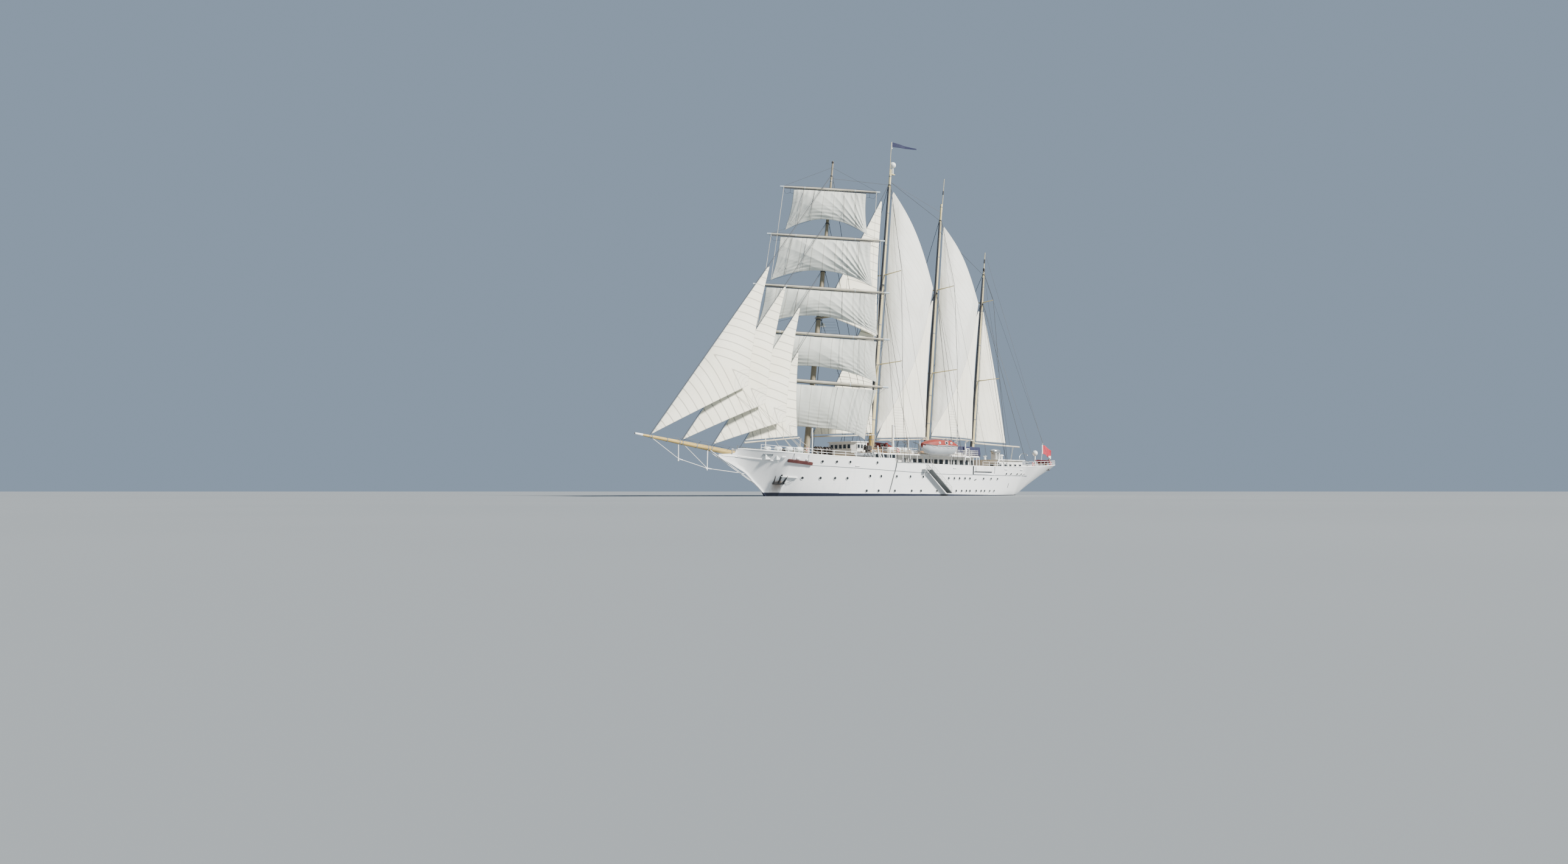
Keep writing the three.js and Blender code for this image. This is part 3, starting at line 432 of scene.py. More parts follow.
def pale_floor():
    material, tree, shader = blank("pale_floor")
    cloudy = noise(tree, object_metres(tree), 0.4)
    tree.links.new(blend(tree, cloudy, (0.19, 0.21, 0.225), (0.22, 0.24, 0.255)), shader.inputs["Base Color"])
    shader.inputs["Roughness"].default_value = 0.9
    return material


finish["dark_glass"] = dark_glass()
floor.data.materials.append(pale_floor())
print("glass and floor ready")

# %% [markdown]
# The hull's paint changes with height: dark blue boot-top at the waterline, rising towards the bow, and white above it.
# Rust runs down below the anchors, faint streaks fall from the scuppers, and plate edges show as fine lines.

# %% Hull paint
SEAMS_ALONG = (0.62, 0.004)
SEAMS_UP = (0.205, 0.0025)
ANCHOR_X = 3.46
RUST_HALF_WIDTH = (0.012, 0.07)
BOOT_STATIONS = (-1.75, 3.6)
BOOT_TOPS = (0.016, 0.062)
BOOT_FOOT = -0.03


def hull_paint():
    material, tree, shader = blank("hull_paint")
    metres = object_metres(tree)
    xyz = node(tree, "ShaderNodeSeparateXYZ", {0: metres}).outputs
    x, z = xyz[0], xyz[2]
    streaked = node(tree, "ShaderNodeMapping", {"Vector": metres, "Scale": (9, 9, 0.7)}).outputs[0]
    streaks = between(tree, noise(tree, streaked, 1.6, 6.0), 0.5, 0.78, 0, 0.55)
    patches = between(tree, noise(tree, metres, 0.9, 6.0), 0.4, 0.75, 0, 0.5)
    white = blend(tree, maths(tree, "MAXIMUM", streaks, patches), (0.84, 0.85, 0.85), (0.66, 0.69, 0.71))
    # Plate seams: thin darker lines at an even pitch along the hull and up its side.
    seams = []
    for value, (pitch, width) in ((x, SEAMS_ALONG), (z, SEAMS_UP)):
        share = maths(tree, "PINGPONG", value, pitch / 2)
        seams.append(between(tree, share, 0, width, 1, 0))
    seam = maths(tree, "MAXIMUM", *seams)
    white = blend(tree, maths(tree, "MULTIPLY", seam, 0.16), white, (0.42, 0.46, 0.5))
    # Rust under the anchor: a narrow run that fades downwards.
    away = maths(tree, "ABSOLUTE", maths(tree, "SUBTRACT", x, ANCHOR_X))
    wander = between(tree, noise(tree, streaked, 3.0, 4.0), 0.3, 0.7, 0.5, 1.5)
    run = maths(tree, "MULTIPLY", between(tree, maths(tree, "MULTIPLY", away, wander), *RUST_HALF_WIDTH, 1, 0),
                between(tree, z, 0.03, 0.22, 0.25, 1))
    run = maths(tree, "MULTIPLY", run, between(tree, z, 0.24, 0.27, 1, 0))
    white = blend(tree, maths(tree, "MULTIPLY", run, 0.9), white, (0.2, 0.1, 0.035))
    # The boot-top ends on a line that rises towards the bow, and antifouling begins below it.
    line = between(tree, x, *BOOT_STATIONS, *BOOT_TOPS)
    boot = between(tree, maths(tree, "SUBTRACT", z, line), -0.002, 0.002, 1, 0)
    painted = blend(tree, boot, white, (0.007, 0.011, 0.03))
    below = between(tree, z, BOOT_FOOT, BOOT_FOOT + 0.004, 1, 0)
    tree.links.new(blend(tree, below, painted, (0.17, 0.035, 0.03)), shader.inputs["Base Color"])
    tree.links.new(between(tree, patches, 0, 0.5, 0.32, 0.5), shader.inputs["Roughness"])
    shader.inputs["Coat Weight"].default_value = 0.15
    fine = noise(tree, metres, 60.0)
    finish_bump(tree, shader, maths(tree, "SUBTRACT", maths(tree, "MULTIPLY", fine, 0.2), seam), 0.35, 0.002)
    return material


PLANK_WIDTH = 0.02
PLANK_LENGTH = 0.6


def deck_planks():
    """Teak laid fore and aft, with dark caulking and a colour of its own for each plank."""
    material, tree, shader = blank("deck_planks")
    metres = object_metres(tree)
    xyz = node(tree, "ShaderNodeSeparateXYZ", {0: metres}).outputs
    lanes = maths(tree, "DIVIDE", xyz[1], PLANK_WIDTH)
    lane = maths(tree, "FLOOR", lanes)
    joint = maths(tree, "ADD", maths(tree, "DIVIDE", xyz[0], PLANK_LENGTH), maths(tree, "MULTIPLY", lane, 0.37))
    plank = node(tree, "ShaderNodeCombineXYZ", {0: lane, 1: maths(tree, "FLOOR", joint)}).outputs[0]
    shade = node(tree, "ShaderNodeTexWhiteNoise", {"Vector": plank}, noise_dimensions="3D").outputs["Value"]
    grained = node(tree, "ShaderNodeMapping", {"Vector": metres, "Scale": (4, 90, 4)}).outputs[0]
    grain = noise(tree, grained, 3.0, 5.0)
    mixed = maths(tree, "ADD", maths(tree, "MULTIPLY", shade, 0.6), maths(tree, "MULTIPLY", grain, 0.4))
    wood = blend(tree, mixed, (0.42, 0.29, 0.17), (0.58, 0.44, 0.29))
    edges = []
    for value, width in ((lanes, 0.07), (joint, 0.004)):
        share = maths(tree, "PINGPONG", value, 0.5)
        edges.append(between(tree, share, 0, width, 1, 0))
    edge = maths(tree, "MAXIMUM", *edges)
    tree.links.new(blend(tree, edge, wood, (0.05, 0.045, 0.04)), shader.inputs["Base Color"])
    tree.links.new(between(tree, grain, 0, 1, 0.6, 0.85), shader.inputs["Roughness"])
    finish_bump(tree, shader, maths(tree, "SUBTRACT", maths(tree, "MULTIPLY", grain, 0.3), edge), 0.4)
    return material


finish["hull_paint"] = hull_paint()
finish["deck_planks"] = deck_planks()
print("hull and deck paints ready")

# %% [markdown]
# ## Sailcloth
# A sail is sewn from long panels. Its UV map holds the cut: V counts the panels, so a seam lies at each whole number,
# and U runs along them in metres. Two values on the points, "edge" and "corner", give the distance to the nearest edge
# and corner, for the hem and for the patches that spread the pull of the sheets.

# %% Sailcloth
HEM = (0.018, 0.021)
CORNER_PATCH = (0.26, 0.27)
PATCH_RING = 0.065
STITCHES = (0.3, 0.29, 0.25)
# The grey of the painted shade near a sail's luff.
LUFF_SHADE_GREY = (0.3, 0.3, 0.25)


def sailcloth(name, colour, shade, seam_dark=0.5, weave=0.35, seam_width=0.045, luff_shade=0.0):
    material, tree, shader = blank(name)
    cut = node(tree, "ShaderNodeUVMap", uv_map="UVMap").outputs[0]
    along, panels = node(tree, "ShaderNodeSeparateXYZ", {0: cut}).outputs[:2]
    to_edge = node(tree, "ShaderNodeAttribute", attribute_name="edge").outputs["Fac"]
    to_corner = node(tree, "ShaderNodeAttribute", attribute_name="corner").outputs["Fac"]
    metres = object_metres(tree)
    seam = between(tree, maths(tree, "PINGPONG", panels, 0.5), 0, seam_width, 1, 0)
    hem = between(tree, to_edge, *HEM, 1, 0)
    patch = between(tree, to_corner, *CORNER_PATCH, 1, 0)
    rings = between(tree, maths(tree, "PINGPONG", maths(tree, "DIVIDE", to_corner, PATCH_RING), 0.5), 0, 0.05, 1, 0)
    stitched = maths(tree, "MAXIMUM", seam, maths(tree, "MULTIPLY", rings, patch))
    tone = node(tree, "ShaderNodeTexWhiteNoise", {"W": maths(tree, "ROUND", panels)}, noise_dimensions="1D").outputs[0]
    stains = between(tree, noise(tree, metres, 1.7, 6.0), 0.42, 0.75, 0, 0.6)
    share = maths(tree, "ADD", maths(tree, "MULTIPLY", tone, 0.22), stains, clamp=True)
    cloth = blend(tree, share, colour, shade)
    if luff_shade:
        # Painted shade: grey streaks that run up the sail and fade away from the mast.
        # They stand for the shrouds' shadows and for the cloth that turns from the sun near the luff.
        drawn = node(tree, "ShaderNodeMapping", {"Vector": metres, "Scale": (1, 1, 0.05)}).outputs[0]
        streak = between(tree, noise(tree, drawn, 14.0, 3.0), 0.3, 0.7, 0.45, 1)
        near = between(tree, along, 0.05, 0.75, luff_shade, 0)
        cloth = blend(tree, maths(tree, "MULTIPLY", near, streak), cloth, LUFF_SHADE_GREY)
    double = maths(tree, "MAXIMUM", hem, patch)
    cloth = blend(tree, maths(tree, "MULTIPLY", double, 0.35), cloth, tuple(c * 0.86 for c in colour))
    cloth = blend(tree, maths(tree, "MULTIPLY", stitched, seam_dark), cloth, STITCHES)
    tree.links.new(cloth, shader.inputs["Base Color"])
    tree.links.new(between(tree, stains, 0, 0.6, 0.78, 0.92), shader.inputs["Roughness"])
    shader.inputs["Sheen Weight"].default_value = 0.15
    threads = noise(tree, metres, 260.0, 1.0)
    slack = noise(tree, metres, 9.0, 4.0)
    raised = maths(tree, "MAXIMUM", stitched, maths(tree, "MULTIPLY", double, 0.5))
    height = maths(tree, "ADD", maths(tree, "MULTIPLY", threads, 0.12), maths(tree, "MULTIPLY", slack, 0.8))
    finish_bump(tree, shader, maths(tree, "ADD", height, raised), weave, 0.004)
    return material


CANVASES = {
    # The square sails' cloth is darker and greyer than the rest: painted shade, for squares the sun lights only at a
    # slant.
    "square_canvas": dict(colour=(0.66, 0.685, 0.635), shade=(0.53, 0.56, 0.51), seam_dark=0.8),
    "cream_canvas": dict(colour=(0.86, 0.84, 0.72), shade=(0.78, 0.75, 0.6), seam_dark=0.95, seam_width=0.085),
    "fisherman_canvas": dict(colour=(0.8, 0.81, 0.77), shade=(0.68, 0.68, 0.62), seam_dark=0.4, luff_shade=0.95),
    "aft_canvas": dict(colour=(0.85, 0.84, 0.75), shade=(0.74, 0.71, 0.6), seam_dark=0.4),
    "navy_canvas": dict(colour=(0.006, 0.01, 0.05), shade=(0.01, 0.016, 0.07), seam_dark=0.4),
    "red_bunting": dict(colour=(0.42, 0.012, 0.035), shade=(0.34, 0.01, 0.03), seam_dark=0.2),
    "white_bunting": dict(colour=(0.8, 0.8, 0.78), shade=(0.7, 0.7, 0.68), seam_dark=0.2),
}
for name, values in CANVASES.items():
    finish[name] = sailcloth(name, **values)
print("kinds of cloth:", len(CANVASES))

# %% [markdown]
# ## Sails
# Cloth under wind is a thin curved sheet. A grid is added with one point for every few centimetres, each point is moved
# to its place on the sail, and Solidify gives the cloth its thickness. The folds are real shape: they spread from the
# clews, where the sheets pull, and hang below the yard, where the head is laced.

# %% The sail helper
def sail(name, point, cut, cols, rows, thickness=0.004):
    """A sheet from a grid. point takes arrays u and v; cut also gives the UV map, the edge and the corner distances."""
    ops.mesh.primitive_grid_add(x_subdivisions=cols, y_subdivisions=rows, size=2)
    piece = bpy.context.object
    mesh = piece.data
    flat = np.empty(len(mesh.vertices) * 3)
    mesh.vertices.foreach_get("co", flat)
    flat = flat.reshape(-1, 3)
    u, v = (flat[:, 0] + 1) / 2, (flat[:, 1] + 1) / 2
    places = point(u, v)
    mesh.vertices.foreach_set("co", places.ravel())
    along, panels, edge, corner = cut(u, v, places)
    for key, values in (("edge", edge), ("corner", corner)):
        mesh.attributes.new(key, "FLOAT", "POINT").data.foreach_set("value", values.astype(np.float32))
    index = np.empty(len(mesh.loops), dtype=np.int32)
    mesh.loops.foreach_get("vertex_index", index)
    cloth_map = np.stack([along, panels], 1)[index]
    mesh.uv_layers.active.data.foreach_set("uv", cloth_map.astype(np.float32).ravel())
    piece.name = name
    modify(piece, "SOLIDIFY", thickness=thickness, offset=0)
    pick(piece)
    ops.object.shade_smooth()
    return piece


def folds(across, up, count, reach, height, seed):
    """Folds that spread from a corner, sharp at their crests."""
    away = np.hypot(across, up)
    angle = np.arctan2(up, across)
    phase = count * angle + 1.4 * np.sin(3.3 * angle + seed) + 0.7 * np.sin(8 * angle + 2 * seed)
    crest = 1 - np.abs(np.sin(phase / 2)) ** 0.8
    vary = 0.65 + 0.35 * np.sin(5 * angle + seed * 3)
    return height * vary * crest * np.minimum(away / 0.25, 1) * np.exp(-((away / reach) ** 2))


# Columns: x at the waterline, rake.
MASTS = {"fore": (2.662, 0.1334), "main": (0.99, 0.1146), "mizzen": (-0.608, 0.1116), "jigger": (-2.067, 0.1247)}
YARD_BRACE = math.radians(40)


def on_mast(name, z, dx=0.0, dy=0.0):
    x, slope = MASTS[name]
    return Vector((x - slope * z + dx, dy, z))


fore_x, fore_rake = MASTS["fore"]
RAKED = Matrix.Translation((fore_x, 0, 0)) @ Matrix.Rotation(-math.atan(fore_rake), 4, "Y")
BRACED = RAKED @ Matrix.Rotation(YARD_BRACE, 4, "Z")
print("mast heads:", [tuple(round(c, 3) for c in on_mast(name, 6)) for name in MASTS])

# %% [markdown]
# The five square sails hang from their yards with an arched foot. The port clew carries the pull here, so the folds
# are strongest there, above all on the two topgallants.

# %% Square sails
# Columns: yard height, half head, drop, half foot, clew, roach, arch, port folds, starboard folds, body.
SQUARES = {
    "fore_course": (1.95, 1.1, 0.06, 0.964, 1.03, 0.13, 5, 0.007, 0.007, "course"),
    "lower_topsail_sail": (2.775, 1.03, 0.04, 1.09, 2.02, 0.19, 2, 0.011, 0.006, "lower_topsail"),
    "upper_topsail_sail": (3.59, 0.95, 0.035, 1.035, 2.845, 0.245, 2, 0.014, 0.007, "upper_topsail"),
    "lower_topgallant_sail": (4.505, 0.79, 0.035, 0.875, 3.68, 0.21, 2, 0.026, 0.006, "lower_topgallant"),
    "upper_topgallant_sail": (5.375, 0.632, 0.03, 0.716, 4.59, 0.218, 2, 0.018, 0.007, "upper_topgallant"),
}


CLOTH_AHEAD = 0.078


def square_belly(s, v):
    """How full a square sail is at s across, from -1 to 1, and v up."""
    return 0.13 * (1 - s * s) * np.sin(np.pi * (0.12 + 0.88 * v)) ** 0.8 + 0.014 * (1 - v)


def square_sail(name, row, seed):
    yard, head, drop, half_foot, clew, roach, arch, port, starboard, body = row
    top = yard - drop

    def local(u, v):
        s = 2 * u - 1
        half = half_foot + (head - half_foot) * v - 0.025 * np.sin(np.pi * v)
        foot = clew + roach * (1 - np.abs(s) ** arch)
        y, z = s * half, foot + (top - foot) * v
        rest = np.minimum(np.minimum(v, 1 - v) * 12, 1) * np.minimum(np.minimum(u, 1 - u) * 20, 1)
        creases = folds(half_foot - y, z - clew + 0.02, 46, 0.75 + port * 30, port, seed)
        creases += folds(half_foot + y, z - clew + 0.02, 34, 0.7, starboard, seed + 2)
        gathers = 0.005 * np.cos(2 * np.pi * 13 * u + 1.5 * np.sin(9 * u)) * np.exp(-(1 - v) * 5)
        soft = 0.007 * np.sin(5 * y + seed) * np.sin(4.4 * z + seed) + 0.004 * np.sin(11 * y + 7 * z)
        above_foot = z - foot
        slack = 0.0055 * np.sin(105 * above_foot + 2.2 * np.sin(5 * y + seed)) * np.exp(-above_foot / 0.13)
        slack *= 0.55 + 0.45 * np.sin(7 * y + 2 * seed)
        return CLOTH_AHEAD + square_belly(s, v) + rest * (creases + gathers + soft + slack), y, z

    def point(u, v):
        x, y, z = local(u, v)
        places = np.stack([x, y, z, np.ones_like(x)])
        return (np.array(BRACED) @ places)[:3].T

    def cut(u, v, _):
        _, y, z = local(u, v)
        edge = np.minimum(np.minimum(u, 1 - u) * 2 * head, np.minimum(v, 1 - v) * (top - clew - roach))
        corners = [np.hypot(y - side * half_foot, z - clew) for side in (1, -1)]
        corners += [np.hypot(y - side * head, z - top) for side in (1, -1)]
        return z, u * round(2 * head / 0.19), edge, np.min(corners, axis=0)

    piece = sail(f"{name}_cloth", point, cut, 150, 90)
    place(piece, body, "sail_white", finish["square_canvas"], replaces=[name])
    width, length = 2 * max(head, half_foot), top - clew
    area = (head + half_foot) * (top - clew) - 2 * half_foot * roach * (1 - 1 / (arch + 1))
    return width, length, area


for number, (name, row) in enumerate(SQUARES.items()):
    print(name, "flat", [round(value, 3) for value in square_sail(name, row, 1.7 * number + 0.4)])

# %% [markdown]
# The fore-and-aft sails are three-cornered. The jibs are mitre-cut: their panels meet on the line that halves the
# clew's corner, so the seams stand square to the leech above it and square to the foot below it. The distance from the
# clew along the leech, or along the foot, whichever is larger, counts these panels. The sails further aft have panels
# that run up along the leech.

# %% Fore-and-aft sails
# Columns: the head's mast and height, then the foot's mast and height, or the foot's x where it is on the bowsprit.
STAYS = {
    "flying_jib": ("fore", 5.6, None, 5.92), "outer_jib": ("fore", 4.74, None, 5.31),
    "inner_jib": ("fore", 3.88, None, 4.7), "fore_staysail": ("fore", 3.03, None, 4.143),
    "main_staysail": ("main", 3.85, "fore", 0.965), "upper_main_staysail": ("main", 5.74, "fore", 3.11),
    "mizzen_staysail": ("mizzen", 3.89, "main", 0.89), "jigger_staysail": ("jigger", 3.85, "mizzen", 1.01),
}
# Each mast's radius at some heights.
GIRTHS = {
    "fore": ((0, 0.056), (2, 0.048), (3.8, 0.038), (4.6, 0.03), (5.3, 0.02), (5.87, 0.015)),
    "main": ((0, 0.048), (2.8, 0.04), (4.1, 0.031), (5.6, 0.023), (6.04, 0.02)),
    "mizzen": ((0, 0.048), (2.8, 0.038), (4.0, 0.03), (5.3, 0.022), (5.66, 0.018)),
    "jigger": ((0, 0.042), (2.4, 0.034), (3.9, 0.027), (4.6, 0.017)),
}


def girth(mast, z):
    return float(np.interp(z, *zip(*GIRTHS[mast])))


def on_sprit(x, rise=0.0):
    return Vector((x, 0, 0.652 + 0.283 * (x - 3.96) / 2.24 + rise))


def stay_ends(name):
    head_mast, head_z, foot_mast, at = STAYS[name]
    if foot_mast:
        foot = on_mast(foot_mast, at, -girth(foot_mast, at) - 0.009)
    else:
        foot = on_sprit(at, 0.04 - 0.017 * min(1, max(0, (at - 4.7) / 1.2)) + 0.004)
    return foot, on_mast(head_mast, head_z, girth(head_mast, head_z) + 0.005)


def on_stay(name, z, offset):
    foot, head = stay_ends(name)
    run = head - foot
    point = foot + run * ((z - foot.z) / run.z)
    run.normalize()
    return point + Vector((-run.z, 0, run.x)) * offset


# Columns: tack height, head height, clew, belly, hollow, body.
STAY_SAILS = {
    "flying_jib": (0.945, 3.78, (4.2, 0.3, 1.75), 0.06, 0.03, "root"),
    "outer_jib": (0.88, 3.5, (3.82, 0.3, 1.485), 0.06, 0.03, "root"),
    "inner_jib": (0.83, 3.18, (3.34, 0.28, 1.225), 0.06, 0.03, "root"),
    "fore_staysail": (0.905, 2.42, (2.935, 0.15, 1.0), 0.05, 0.03, "fore_staysail"),
    "main_staysail": (1.055, 3.6, (1.03, 0.15, 1.115), 0.05, 0.03, "main_staysail"),
    "upper_main_staysail": (3.15, 5.4, (0.84, 0.1, 2.86), 0.05, 0.03, "root"),
    "mizzen_staysail": (1.045, 3.74, (-0.49, 0.15, 1.085), 0.05, 0.03, "mizzen_staysail"),
    "jigger_staysail": (1.14, 3.7, (-1.96, 0.15, 1.105), 0.05, 0.03, "jigger_staysail"),
}
# Columns: tack, head, clew, belly, hollow, body.
MAST_SAILS = {
    "main_fisherman": ((0.77, 0.035, 1.12), (0.3, 0.04, 5.56), (-0.85, 0.08, 3.96), 0.09, -0.05, "root"),
    "mizzen_fisherman": ((-0.815, 0.035, 1.17), (-1.235, 0.04, 5.16), (-2.32, 0.08, 3.83), 0.09, -0.05, "root"),
    "spanker": ((-2.3, 0, 1.075), (-2.585, 0, 3.7), (-3.11, 0.15, 1.055), 0.07, -0.04, "spanker"),
}
JIBS = ("flying_jib", "outer_jib", "inner_jib")
MITRED = (*JIBS, "fore_staysail", "upper_main_staysail", "main_staysail")
PANEL = 0.125


def staysail(name, tack, head, clew, belly, hollow, body, seed):
    tack, head, clew = (np.array(p, float) for p in (tack, head, clew))
    chord, luff = clew - tack, head - tack
    normal = np.cross(chord, luff)
    normal /= np.linalg.norm(normal) * (1 if normal[1] > 0 else -1)
    loose = name.endswith("fisherman")
    foot_way, luff_way = -chord / np.linalg.norm(chord), luff / np.linalg.norm(luff)
    down = chord * (luff @ chord) / (chord @ chord) - luff
    down *= 0.18 * loose / np.linalg.norm(down)
    leech_way = (head - clew) / np.linalg.norm(head - clew)

    def smooth_point(u, v):
        u, v = u[:, None], v[:, None]
        flat = tack + luff * v + chord * u * (1 - v) + 0.02 * chord * u * v
        width = np.linalg.norm(chord) * (1 - v)
        fullness = 0.35 + 0.65 * np.sin(np.pi * np.minimum(1, v * 1.1 + 0.15))
        fullness = fullness - loose * 0.42 * np.maximum(0, 1 - 5 * v)
        flat = flat + down * np.sin(np.pi * u) * np.maximum(0, 1 - 2.5 * v) ** 2
        flat = flat - chord * hollow * u * np.sin(np.pi * v)
        return flat + normal * belly * 4 * u * (1 - u) * fullness * width

    def point(u, v):
        places = smooth_point(u, v)
        from_clew, from_tack = places - clew, places - tack
        calm = np.minimum(np.minimum(u, 1 - u) * 14, 1) * np.minimum(np.minimum(v, 1 - v) * 20, 1)
        height = folds(from_clew @ foot_way, from_clew @ leech_way, 30, 0.5, 0.007, seed)
        height += folds(from_tack @ -foot_way, from_tack @ luff_way, 20, 0.35, 0.005, seed + 1)
        scallops = 0.004 * np.cos(2 * np.pi * 22 * v) * np.exp(-u * 14)
        soft = 0.006 * np.sin(6 * places[:, 2] + 4 * places[:, 0] + seed) * np.sin(3 * places[:, 0] - seed)
        return places + normal * (calm * (height + soft) + scallops * (1 - v))[:, None]

    def cut(u, v, places):
        from_clew = places - clew
        a, b = from_clew @ leech_way, from_clew @ foot_way
        if name in MITRED:
            panels, along = np.maximum(a, b) / (1.2 * PANEL), np.minimum(a, b)
        else:
            across = np.linalg.norm(np.cross(from_clew, leech_way), axis=1)
            panels, along = across / PANEL, u * np.linalg.norm(chord) * (1 - v)
        width = np.linalg.norm(chord) * (1 - v)
        edge = np.minimum(np.minimum(u, 1 - u) * width, v * np.linalg.norm(luff) * 0.9)
        corner = np.min([np.linalg.norm(places - p, axis=1) for p in (tack, head, clew)], axis=0)
        return along, panels, edge, corner

    piece = sail(f"{name}_cloth", point, cut, 70, 130)
    canvas = "cream_canvas" if name in MITRED else "fisherman_canvas" if loose else "aft_canvas"
    place(piece, body, "sail_cream", finish[canvas], replaces=[name])
    length = float(np.linalg.norm(luff))
    width = float(np.linalg.norm(np.cross(chord, luff)) / length)
    area = 0.5 * width * length * 1.03
    return width, length, area


OFF_STAY = 0.014
for number, (name, (low, high, *row)) in enumerate(STAY_SAILS.items()):
    tack, head = on_stay(name, low, OFF_STAY), on_stay(name, high, OFF_STAY)
    print(name, "flat", [round(value, 3) for value in staysail(name, tack, head, *row, number)])
for number, (name, row) in enumerate(MAST_SAILS.items()):
    print(name, "flat", [round(value, 3) for value in staysail(name, *row, number + 20)])

# %% [markdown]
# ## Hull
# The frame's hull is a skin over thirty sections, so its plating shows flats. The shell here is a finer skin over the
# same sections, with a smooth curve from one to the next: a grid is bent into a closed ring at each station, from the
# deck's middle over the bulwark and under the keel. Its deck faces get the teak finish.

# %% Hull shell
# Columns: x, keel, rail, half breadth at the rail, half breadth at the waterline, fullness, deck.
SECTIONS = np.array([
    (-4.89, 0.612, 0.648, 0.03, 0, 1.6, 0.56), (-4.845, 0.56, 0.645, 0.17, 0, 1.7, 0.56),
    (-4.74, 0.52, 0.638, 0.29, 0, 1.8, 0.53), (-4.54, 0.45, 0.628, 0.4, 0, 1.9, 0.52),
    (-4.29, 0.37, 0.615, 0.48, 0, 2.0, 0.515), (-3.94, 0.225, 0.6, 0.555, 0, 2.1, 0.505),
    (-3.6, 0.075, 0.588, 0.61, 0, 2.2, 0.49), (-3.33, -0.06, 0.578, 0.645, 0.22, 1.7, 0.48),
    (-2.93, -0.19, 0.566, 0.688, 0.43, 1.2, 0.48), (-2.9, -0.56, 0.565, 0.69, 0.44, 0.7, 0.48),
    (-2.3, -0.56, 0.556, 0.722, 0.59, 1.1, 0.48), (-1.5, -0.552, 0.552, 0.745, 0.7, 2.2, 0.48),
    (-0.5, -0.542, 0.558, 0.75, 0.738, 3.2, 0.48), (0.5, -0.532, 0.568, 0.75, 0.736, 3.2, 0.48),
    (1.09, -0.526, 0.574, 0.748, 0.722, 2.8, 0.48), (1.12, -0.526, 0.642, 0.748, 0.721, 2.8, 0.48),
    (1.6, -0.52, 0.647, 0.738, 0.69, 2.4, 0.48), (1.95, -0.514, 0.651, 0.726, 0.64, 2.0, 0.48),
    (2.3, -0.506, 0.656, 0.706, 0.565, 1.7, 0.585), (2.45, -0.502, 0.659, 0.694, 0.528, 1.6, 0.585),
    (2.8, -0.484, 0.67, 0.655, 0.425, 1.35, 0.585), (3.15, -0.43, 0.685, 0.592, 0.29, 1.15, 0.585),
    (3.4, -0.27, 0.7, 0.52, 0.16, 1.0, 0.585), (3.55, 0.01, 0.712, 0.462, 0, 0.9, 0.585),
    (3.8, 0.226, 0.728, 0.345, 0, 0.85, 0.585), (4.0, 0.38, 0.742, 0.225, 0, 0.8, 0.61),
    (4.15, 0.45, 0.754, 0.12, 0, 0.8, 0.64), (4.215, 0.478, 0.75, 0.06, 0, 0.9, 0.7),
    (4.24, 0.49, 0.692, 0.045, 0, 1, 0.7), (4.56, 0.622, 0.666, 0.02, 0, 1, 0.7),
])
STEPS = 26
PLATE = 0.015
# Heights of the decks that things stand on.
SUN_DECK, FORE_DECK, MAIN_DECK = 0.745, 0.585, 0.48


def section_outside(row):
    """Points of one section's port side from the keel to the rail: their half breadths and heights."""
    _, keel, rail, at_rail, at_water, full, _ = row
    j = np.linspace(0, 9, STEPS + 1)
    if keel >= 0:
        z = keel + (rail - keel) * (j / 9) ** 1.4
        return np.maximum(0.015, at_rail * ((z - keel) / (rail - keel)) ** (1 / full)), z
    z = np.where(j <= 6, keel * (1 - (np.minimum(j, 6) / 6) ** 1.6), rail * (j - 6) / 3)
    under = at_water * np.maximum(0, 1 - z / keel) ** (1 / full)
    over = at_water + (at_rail - at_water) * (np.maximum(z, 0) / rail) ** 0.8
    return np.maximum(0.018, np.where(z <= 0, under, over)), z


def fair(xs, rows, at):
    """A smooth curve through the rows that never overshoots them."""
    steps = np.diff(xs)
    slopes = np.diff(rows, axis=0) / steps[:, None]
    tangents = np.zeros_like(rows)
    left, right = slopes[:-1], slopes[1:]
    same = left * right > 0
    w1, w2 = (2 * steps[1:] + steps[:-1])[:, None], (steps[1:] + 2 * steps[:-1])[:, None]
    with np.errstate(divide="ignore", invalid="ignore"):
        tangents[1:-1] = np.where(same, (w1 + w2) / (w1 / left + w2 / right), 0)
    tangents[0], tangents[-1] = slopes[0], slopes[-1]
    i = np.clip(np.searchsorted(xs, at, side="right") - 1, 0, len(xs) - 2)
    t = ((at - xs[i]) / steps[i])[:, None]
    h = steps[i][:, None]
    return ((1 + 2 * t) * (1 - t) ** 2 * rows[i] + t * (1 - t) ** 2 * h * tangents[i]
            + t * t * (3 - 2 * t) * rows[i + 1] + t * t * (t - 1) * h * tangents[i + 1])


DECK_ENDS = (-4.74, 4.15)
deck_edges = np.array(DECK_ENDS) + (-0.0005, 0.0005)
stations = np.unique(np.concatenate([SECTIONS[:, 0], np.arange(-4.85, 4.55, 0.07), deck_edges]))
outside = [section_outside(row) for row in SECTIONS]
half = fair(SECTIONS[:, 0], np.array([y for y, z in outside]), stations)
height = fair(SECTIONS[:, 0], np.array([z for y, z in outside]), stations)
deck_line = np.interp(stations, SECTIONS[:, 0], SECTIONS[:, 6])


def hull_y(x, z):
    """Half breadth of the hull at a place on its side."""
    i = int(np.clip(np.searchsorted(stations, x), 1, len(stations) - 1))
    share = (x - stations[i - 1]) / (stations[i] - stations[i - 1])
    a, b = (float(np.interp(z, height[k], half[k])) for k in (i - 1, i))
    return a + (b - a) * share


def rail_y(x):
    return float(np.interp(x, stations, half[:, -1]))


def rail_z(x):
    return float(np.interp(x, stations, height[:, -1]))


def deck_z(x):
    return float(np.interp(x, stations, deck_line))


def on_hull(x, z, out=0.0):
    return Vector((x, hull_y(x, z) + out, z))


